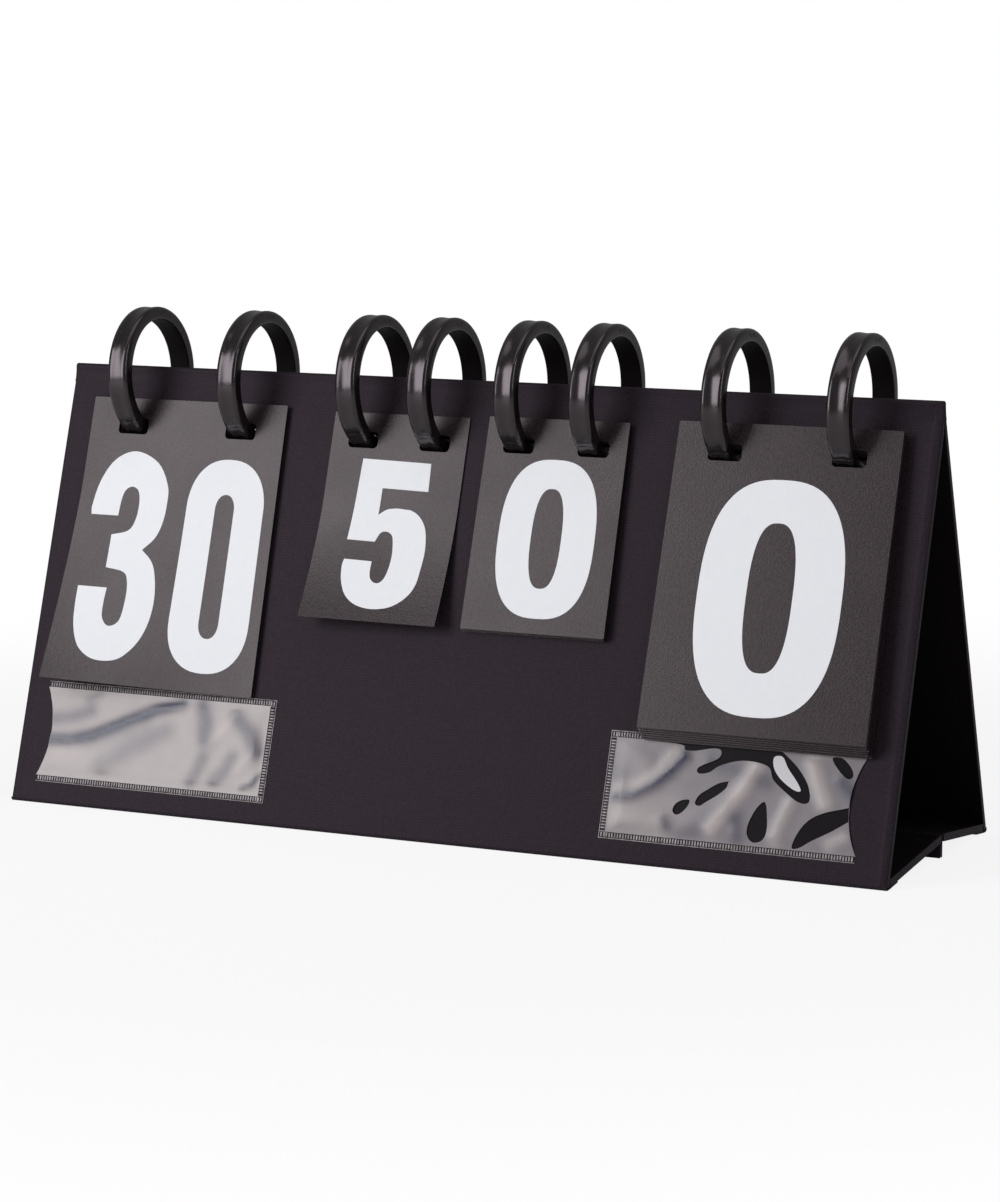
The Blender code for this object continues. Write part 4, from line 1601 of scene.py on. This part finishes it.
@dataclass
class Base:
    """The two base halves and the keel under their crease, kept as packed and finished."""

    cover_edge: float = 0.35 * MM
    board_edge: float = 0.1 * MM
    thin_edge: float = 0.15 * MM

    def build(self) -> None:
        """Finishes the base."""
        for half in ("front_base", "rear_base"):
            cover = dress_node(f"{half}_cover", BASE_CLOTH, self.cover_edge)
            dress_node(f"{half}_board", GREY_BOARD, self.board_edge)
            # the lining's darker colour is partly painted shade
            lining = dress_node(f"{half}_lining", LINING, self.thin_edge)
        for node, finish in (("front_keel_flap", BASE_CLOTH), ("rear_keel_flap", BASE_CLOTH),
                             ("hook_tape", TAPE), ("loop_tape", TAPE)):
            dress_node(node, finish, self.thin_edge)


@dataclass
class Studio:
    """A pale floor, soft lamps and the camera."""

    focal: float = 112.155
    sensor: float = 36.0
    sees_to: float = 20.0
    camera_at: tuple = (0.65840, -1.33828, 0.32083)
    camera_right: tuple = (0.89889, 0.43816, -0.00276)
    camera_down: tuple = (0.06506, -0.13970, -0.98805)
    camera_ahead: tuple = (-0.43331, 0.88798, -0.15408)
    floor_size: float = 8.0
    white_from: float = 0.26
    white_to: float = 0.62
    paper_share: float = 0.14
    ambient: float = 0.22

    def lamp(self, name: str, place: tuple, aim: tuple, size: Pair, radiance: float) -> None:
        """Adds a soft box.

        Args:
            name: Its name.
            place: Its middle.
            aim: The point that it faces.
            size: Its width and height.
            radiance: How bright its face is, where 1 is a white surface in full light.
        """
        data = bpy.data.lights.new(name, "AREA")
        data.shape = "RECTANGLE"
        data.size, data.size_y = size
        data.energy = radiance * size[0] * size[1] * math.pi
        lamp = bpy.data.objects.new(name, data)
        lamp.location = place
        lamp.rotation_euler = (Vector(aim) - Vector(place)).to_track_quat("-Z", "Y").to_euler()
        bpy.context.scene.collection.objects.link(lamp)

    def floor(self) -> None:
        """Lays a white floor that keeps the board's shadow near it and fades into the background."""
        half = self.floor_size / 2
        corners = [(x * half, y * half, 0) for x, y in ((-1, -1), (1, -1), (1, 1), (-1, 1))]
        mesh = bpy.data.meshes.new("studio_floor")
        mesh.from_pydata(corners, [], [(0, 1, 2, 3)])
        floor = bpy.data.objects.new("studio_floor", mesh)
        bpy.context.scene.collection.objects.link(floor)
        paper = bpy.data.materials.new("studio_paper")
        paper.use_nodes = True
        tree = paper.node_tree
        shader = tree.nodes["Principled BSDF"]
        feed(tree, shader, Base_Color=linear("#F4F4F4"), Roughness=1.0, Specular_IOR_Level=0.0)
        place = add_node(tree, "ShaderNodeTexCoord", "Object")
        away = add_node(tree, "ShaderNodeVectorMath", "Value", {"operation": "LENGTH"}, _0=place)
        far = add_node(tree, "ShaderNodeMapRange", "Result", {"interpolation_type": "SMOOTHSTEP"}, Value=away,
                       From_Min=self.white_from, From_Max=self.white_to)
        lifted = add_node(tree, "ShaderNodeMapRange", "Result", Value=far, To_Min=1 - self.paper_share)
        path = add_node(tree, "ShaderNodeLightPath", "Is Camera Ray")
        seen = add_node(tree, "ShaderNodeMath", "Value", {"operation": "MULTIPLY"}, _0=lifted, _1=path)
        white = add_node(tree, "ShaderNodeEmission", "Emission", Color=linear(WHITE), Strength=1.0)
        mixed = add_node(tree, "ShaderNodeMixShader", "Shader", _0=seen, _1=shader.outputs[0], _2=white)
        feed(tree, tree.nodes["Material Output"], Surface=mixed)
        mesh.materials.append(paper)

    def world(self) -> None:
        """Sets a white background and a plain grey fill."""
        world = bpy.context.scene.world or bpy.data.worlds.new("studio")
        bpy.context.scene.world = world
        world.use_nodes = True
        tree = world.node_tree
        tree.nodes.clear()
        seen = add_node(tree, "ShaderNodeLightPath", "Is Camera Ray")
        fill = add_node(tree, "ShaderNodeBackground", "Background", Color=linear(WHITE), Strength=self.ambient)
        white = add_node(tree, "ShaderNodeBackground", "Background", Color=linear(WHITE), Strength=1.0)
        mixed = add_node(tree, "ShaderNodeMixShader", "Shader", _0=seen, _1=fill, _2=white)
        add_node(tree, "ShaderNodeOutputWorld", "", Surface=mixed)

    def camera(self) -> None:
        """Sets the camera where the photograph was taken from."""
        data = bpy.data.cameras.new("camera")
        data.lens = self.focal
        data.sensor_width = self.sensor
        data.sensor_fit = "AUTO"
        data.clip_end = self.sees_to
        camera = bpy.data.objects.new("camera", data)
        axes = (self.camera_right, -Vector(self.camera_down), -Vector(self.camera_ahead))
        camera.matrix_world = Matrix.Translation(self.camera_at) @ Matrix(axes).transposed().to_4x4()
        bpy.context.scene.collection.objects.link(camera)
        bpy.context.scene.camera = camera

    def build(self) -> None:
        """Sets up the camera, the floor, the background and the lamps."""
        self.camera()
        self.floor()
        self.world()
        middle = (0.0, 0.0, 0.09)
        self.lamp("key", place=(-0.775, -1.03, 0.62), aim=(0.0, 0.0, 0.5), size=(0.68, 1.04),
                  radiance=4.5)
        self.lamp("top", place=(0.1, -0.1, 1.25), aim=middle, size=(1.2, 0.7), radiance=1.0)
        self.lamp("right", place=(1.0, -0.8, 0.75), aim=middle, size=(0.2, 1.1), radiance=4.0)
        bpy.context.scene.view_settings.view_transform = "Standard"


# Each crease's last number is the painted shade that it gives the film, a negative one painted light.
LEFT_CREASES = (
    Crease(((-177, 159.5), (-168, 159), (-158, 156.6), (-148, 152.2), (-138, 147.6), (-127, 143),
           (-117, 140)), 2.7, 0.7, 0.66),
    Crease(((-160, 160), (-146, 155.5), (-134, 150)), 4.0, 0.2, 0.14),
    Crease(((-179, 151.5), (-168, 149.5), (-160, 146.5)), 3.0, 0.35, 0.4),
    Crease(((-161, 142), (-157, 139)), 2.6, 0.3, 0.24),
    Crease(((-151, 168), (-137, 159), (-124, 152)), 4.6, 0.4, 0.3),
    Crease(((-108, 139), (-105.5, 147), (-104.5, 154)), 3.6, 0.5, 0.5),
    Crease(((-109, 172), (-106, 166), (-104.5, 161)), 2.8, 0.35, 0.36),
    Crease(((-98, 170), (-93, 165), (-91, 160)), 3.0, 0.45, 0.36),
    Crease(((-91, 144), (-85, 149), (-80, 157)), 3.4, 0.6, 0.5),
    Crease(((-84.5, 172), (-80.5, 170.5), (-77.5, 166.5)), 1.3, 0.5, 0.55),
    Crease(((-101, 155), (-96, 149), (-93, 143)), 2.6, 0.3, -0.14),
    Crease(((-174, 166), (-150, 163)), 5.0, 0.2, -0.08),
    Crease(((-88, 166), (-84, 160)), 2.4, 0.3, -0.1),
)
# Each crease's last number is the painted shade that it gives the film, a negative one painted light.
RIGHT_CREASES = (
    Crease(((79, 161.5), (86, 160), (94, 155.5), (101, 149), (106, 143)), 1.9, 0.6, 0.34),
    Crease(((79, 157), (88, 155), (96, 149), (102, 141)), 2.2, 0.3, -0.3),
    Crease(((82, 141), (90, 147)), 4.2, 0.4, -0.08),
    Crease(((77, 150), (80, 156)), 3.0, 0.3, 0.1),
    Crease(((80, 168), (92, 163), (104, 164)), 7.0, 0.2, -0.16),
    Crease(((100, 168), (101.5, 170)), 2.4, 0.3, 0.34),
    Crease(((83, 168), (98, 172)), 5.0, 0.3, -0.2),
    Crease(((109, 172), (124, 161)), 4.6, 0.4, 0.1),
    Crease(((120, 170), (127, 160), (132, 152), (136, 145)), 3.0, 0.6, -0.46),
    Crease(((131, 173), (129, 165)), 3.0, 0.3, 0.2),
    Crease(((146, 172), (148, 165), (151, 157)), 2.7, 0.5, -0.3),
    Crease(((158, 140), (161, 148), (165, 156)), 3.2, 0.6, -0.38),
    Crease(((170, 148), (176, 153)), 3.6, 0.4, 0.24),
    Crease(((168, 172), (174, 168.5)), 2.4, 0.3, -0.3),
    Crease(((116, 144), (128, 147), (140, 150)), 3.2, 0.2, 0.16),
)
# Film clinging to the cloth under the stack; its dark also stands for the stack's shade there, as painted
# shade.
STACK_CLING_AND_SHADE = ((88, 138.0, 1), (103.5, 138.6), (105.6, 140.5), (110, 140.5), (117, 139.0), (120.2, 139.6),
               (119.6, 142.8), (112.2, 146.6), (112.2, 149.0), (116.5, 148.4), (121, 145.3), (130, 142.7),
               (140, 144.0), (143, 149), (149, 153.6), (154, 156.5), (157.6, 156.6), (158.4, 154),
               (156.6, 149), (152, 143.4), (146.4, 138.9), (145, 138.0, 1))
STREAK_CLING = ((112.4, 160.6), (113.6, 157.4), (117, 154.8), (121, 152.2), (125, 151.0, 1), (124.2, 153.8),
                (121, 156.8), (117, 159.6), (114.4, 161.4))
DROP_CLING = ((103.6, 164.0), (104.6, 161.4), (107.2, 159.8), (110, 159.6), (109.4, 162.2), (107.2, 164.8),
              (105.0, 165.6))
TEAR_CLING = ((140.6, 157.6), (142.2, 163), (142.7, 169), (141, 172.4), (137.4, 173.2), (135.0, 170.6),
              (135.0, 166.4), (137.4, 160.6))
BAND_CLING = ((153.4, 173.6), (155.6, 167.4), (159.4, 162.6), (165, 159.6), (174.6, 156.8, 1),
              (174.7, 162.2, 1), (168.4, 166.4), (161, 170.6), (156.4, 173.6))
END_CLING = ((165.4, 138.8), (169.6, 138.6), (173.6, 142.2), (174.4, 145.2), (172.2, 146.0), (168.2, 142.8))
# The outline of a fold's painted highlight on the right window, in mm.
GLINT = ((142.2, 140.4), (145.6, 140.0), (148.4, 144.2), (152.6, 149.0), (154.4, 152.2), (151.4, 152.0),
         (145.8, 148.4), (142.6, 144.4))
CLINGS = (STACK_CLING_AND_SHADE, STREAK_CLING, DROP_CLING, TEAR_CLING, BAND_CLING, END_CLING)


def main() -> None:
    """Dresses the scoreboard and sets up the studio."""
    logging.basicConfig(level=logging.INFO, format="%(message)s")
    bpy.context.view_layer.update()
    board = Board.measured()
    Studio().build()
    Panel(board, Side.FRONT, "front_panel", "root").build()
    Panel(board, Side.BACK, "back_panel", "back_panel").build()
    Ridge(board).build()
    Heel(board, Side.FRONT, "front", ("root", "front_base"), "front_panel").build()
    Heel(board, Side.BACK, "rear", ("back_panel", "rear_base"), "back_panel").build()
    Base().build()
    Rings().build()
    Leaves(board).build()
    NameWindow(board, "left", -1, LEFT_CREASES).build()
    # shade paints the whole film darker; the upper weld stops short under the stack, where the cloth's dark
    # stands for the stack's shade
    NameWindow(board, "right", 1, RIGHT_CREASES, shade=0.5, clings=CLINGS, glint=GLINT, pale_until=0.16,
               cut_back=3.0 * MM).build()


if __name__ == "__main__":
    main()
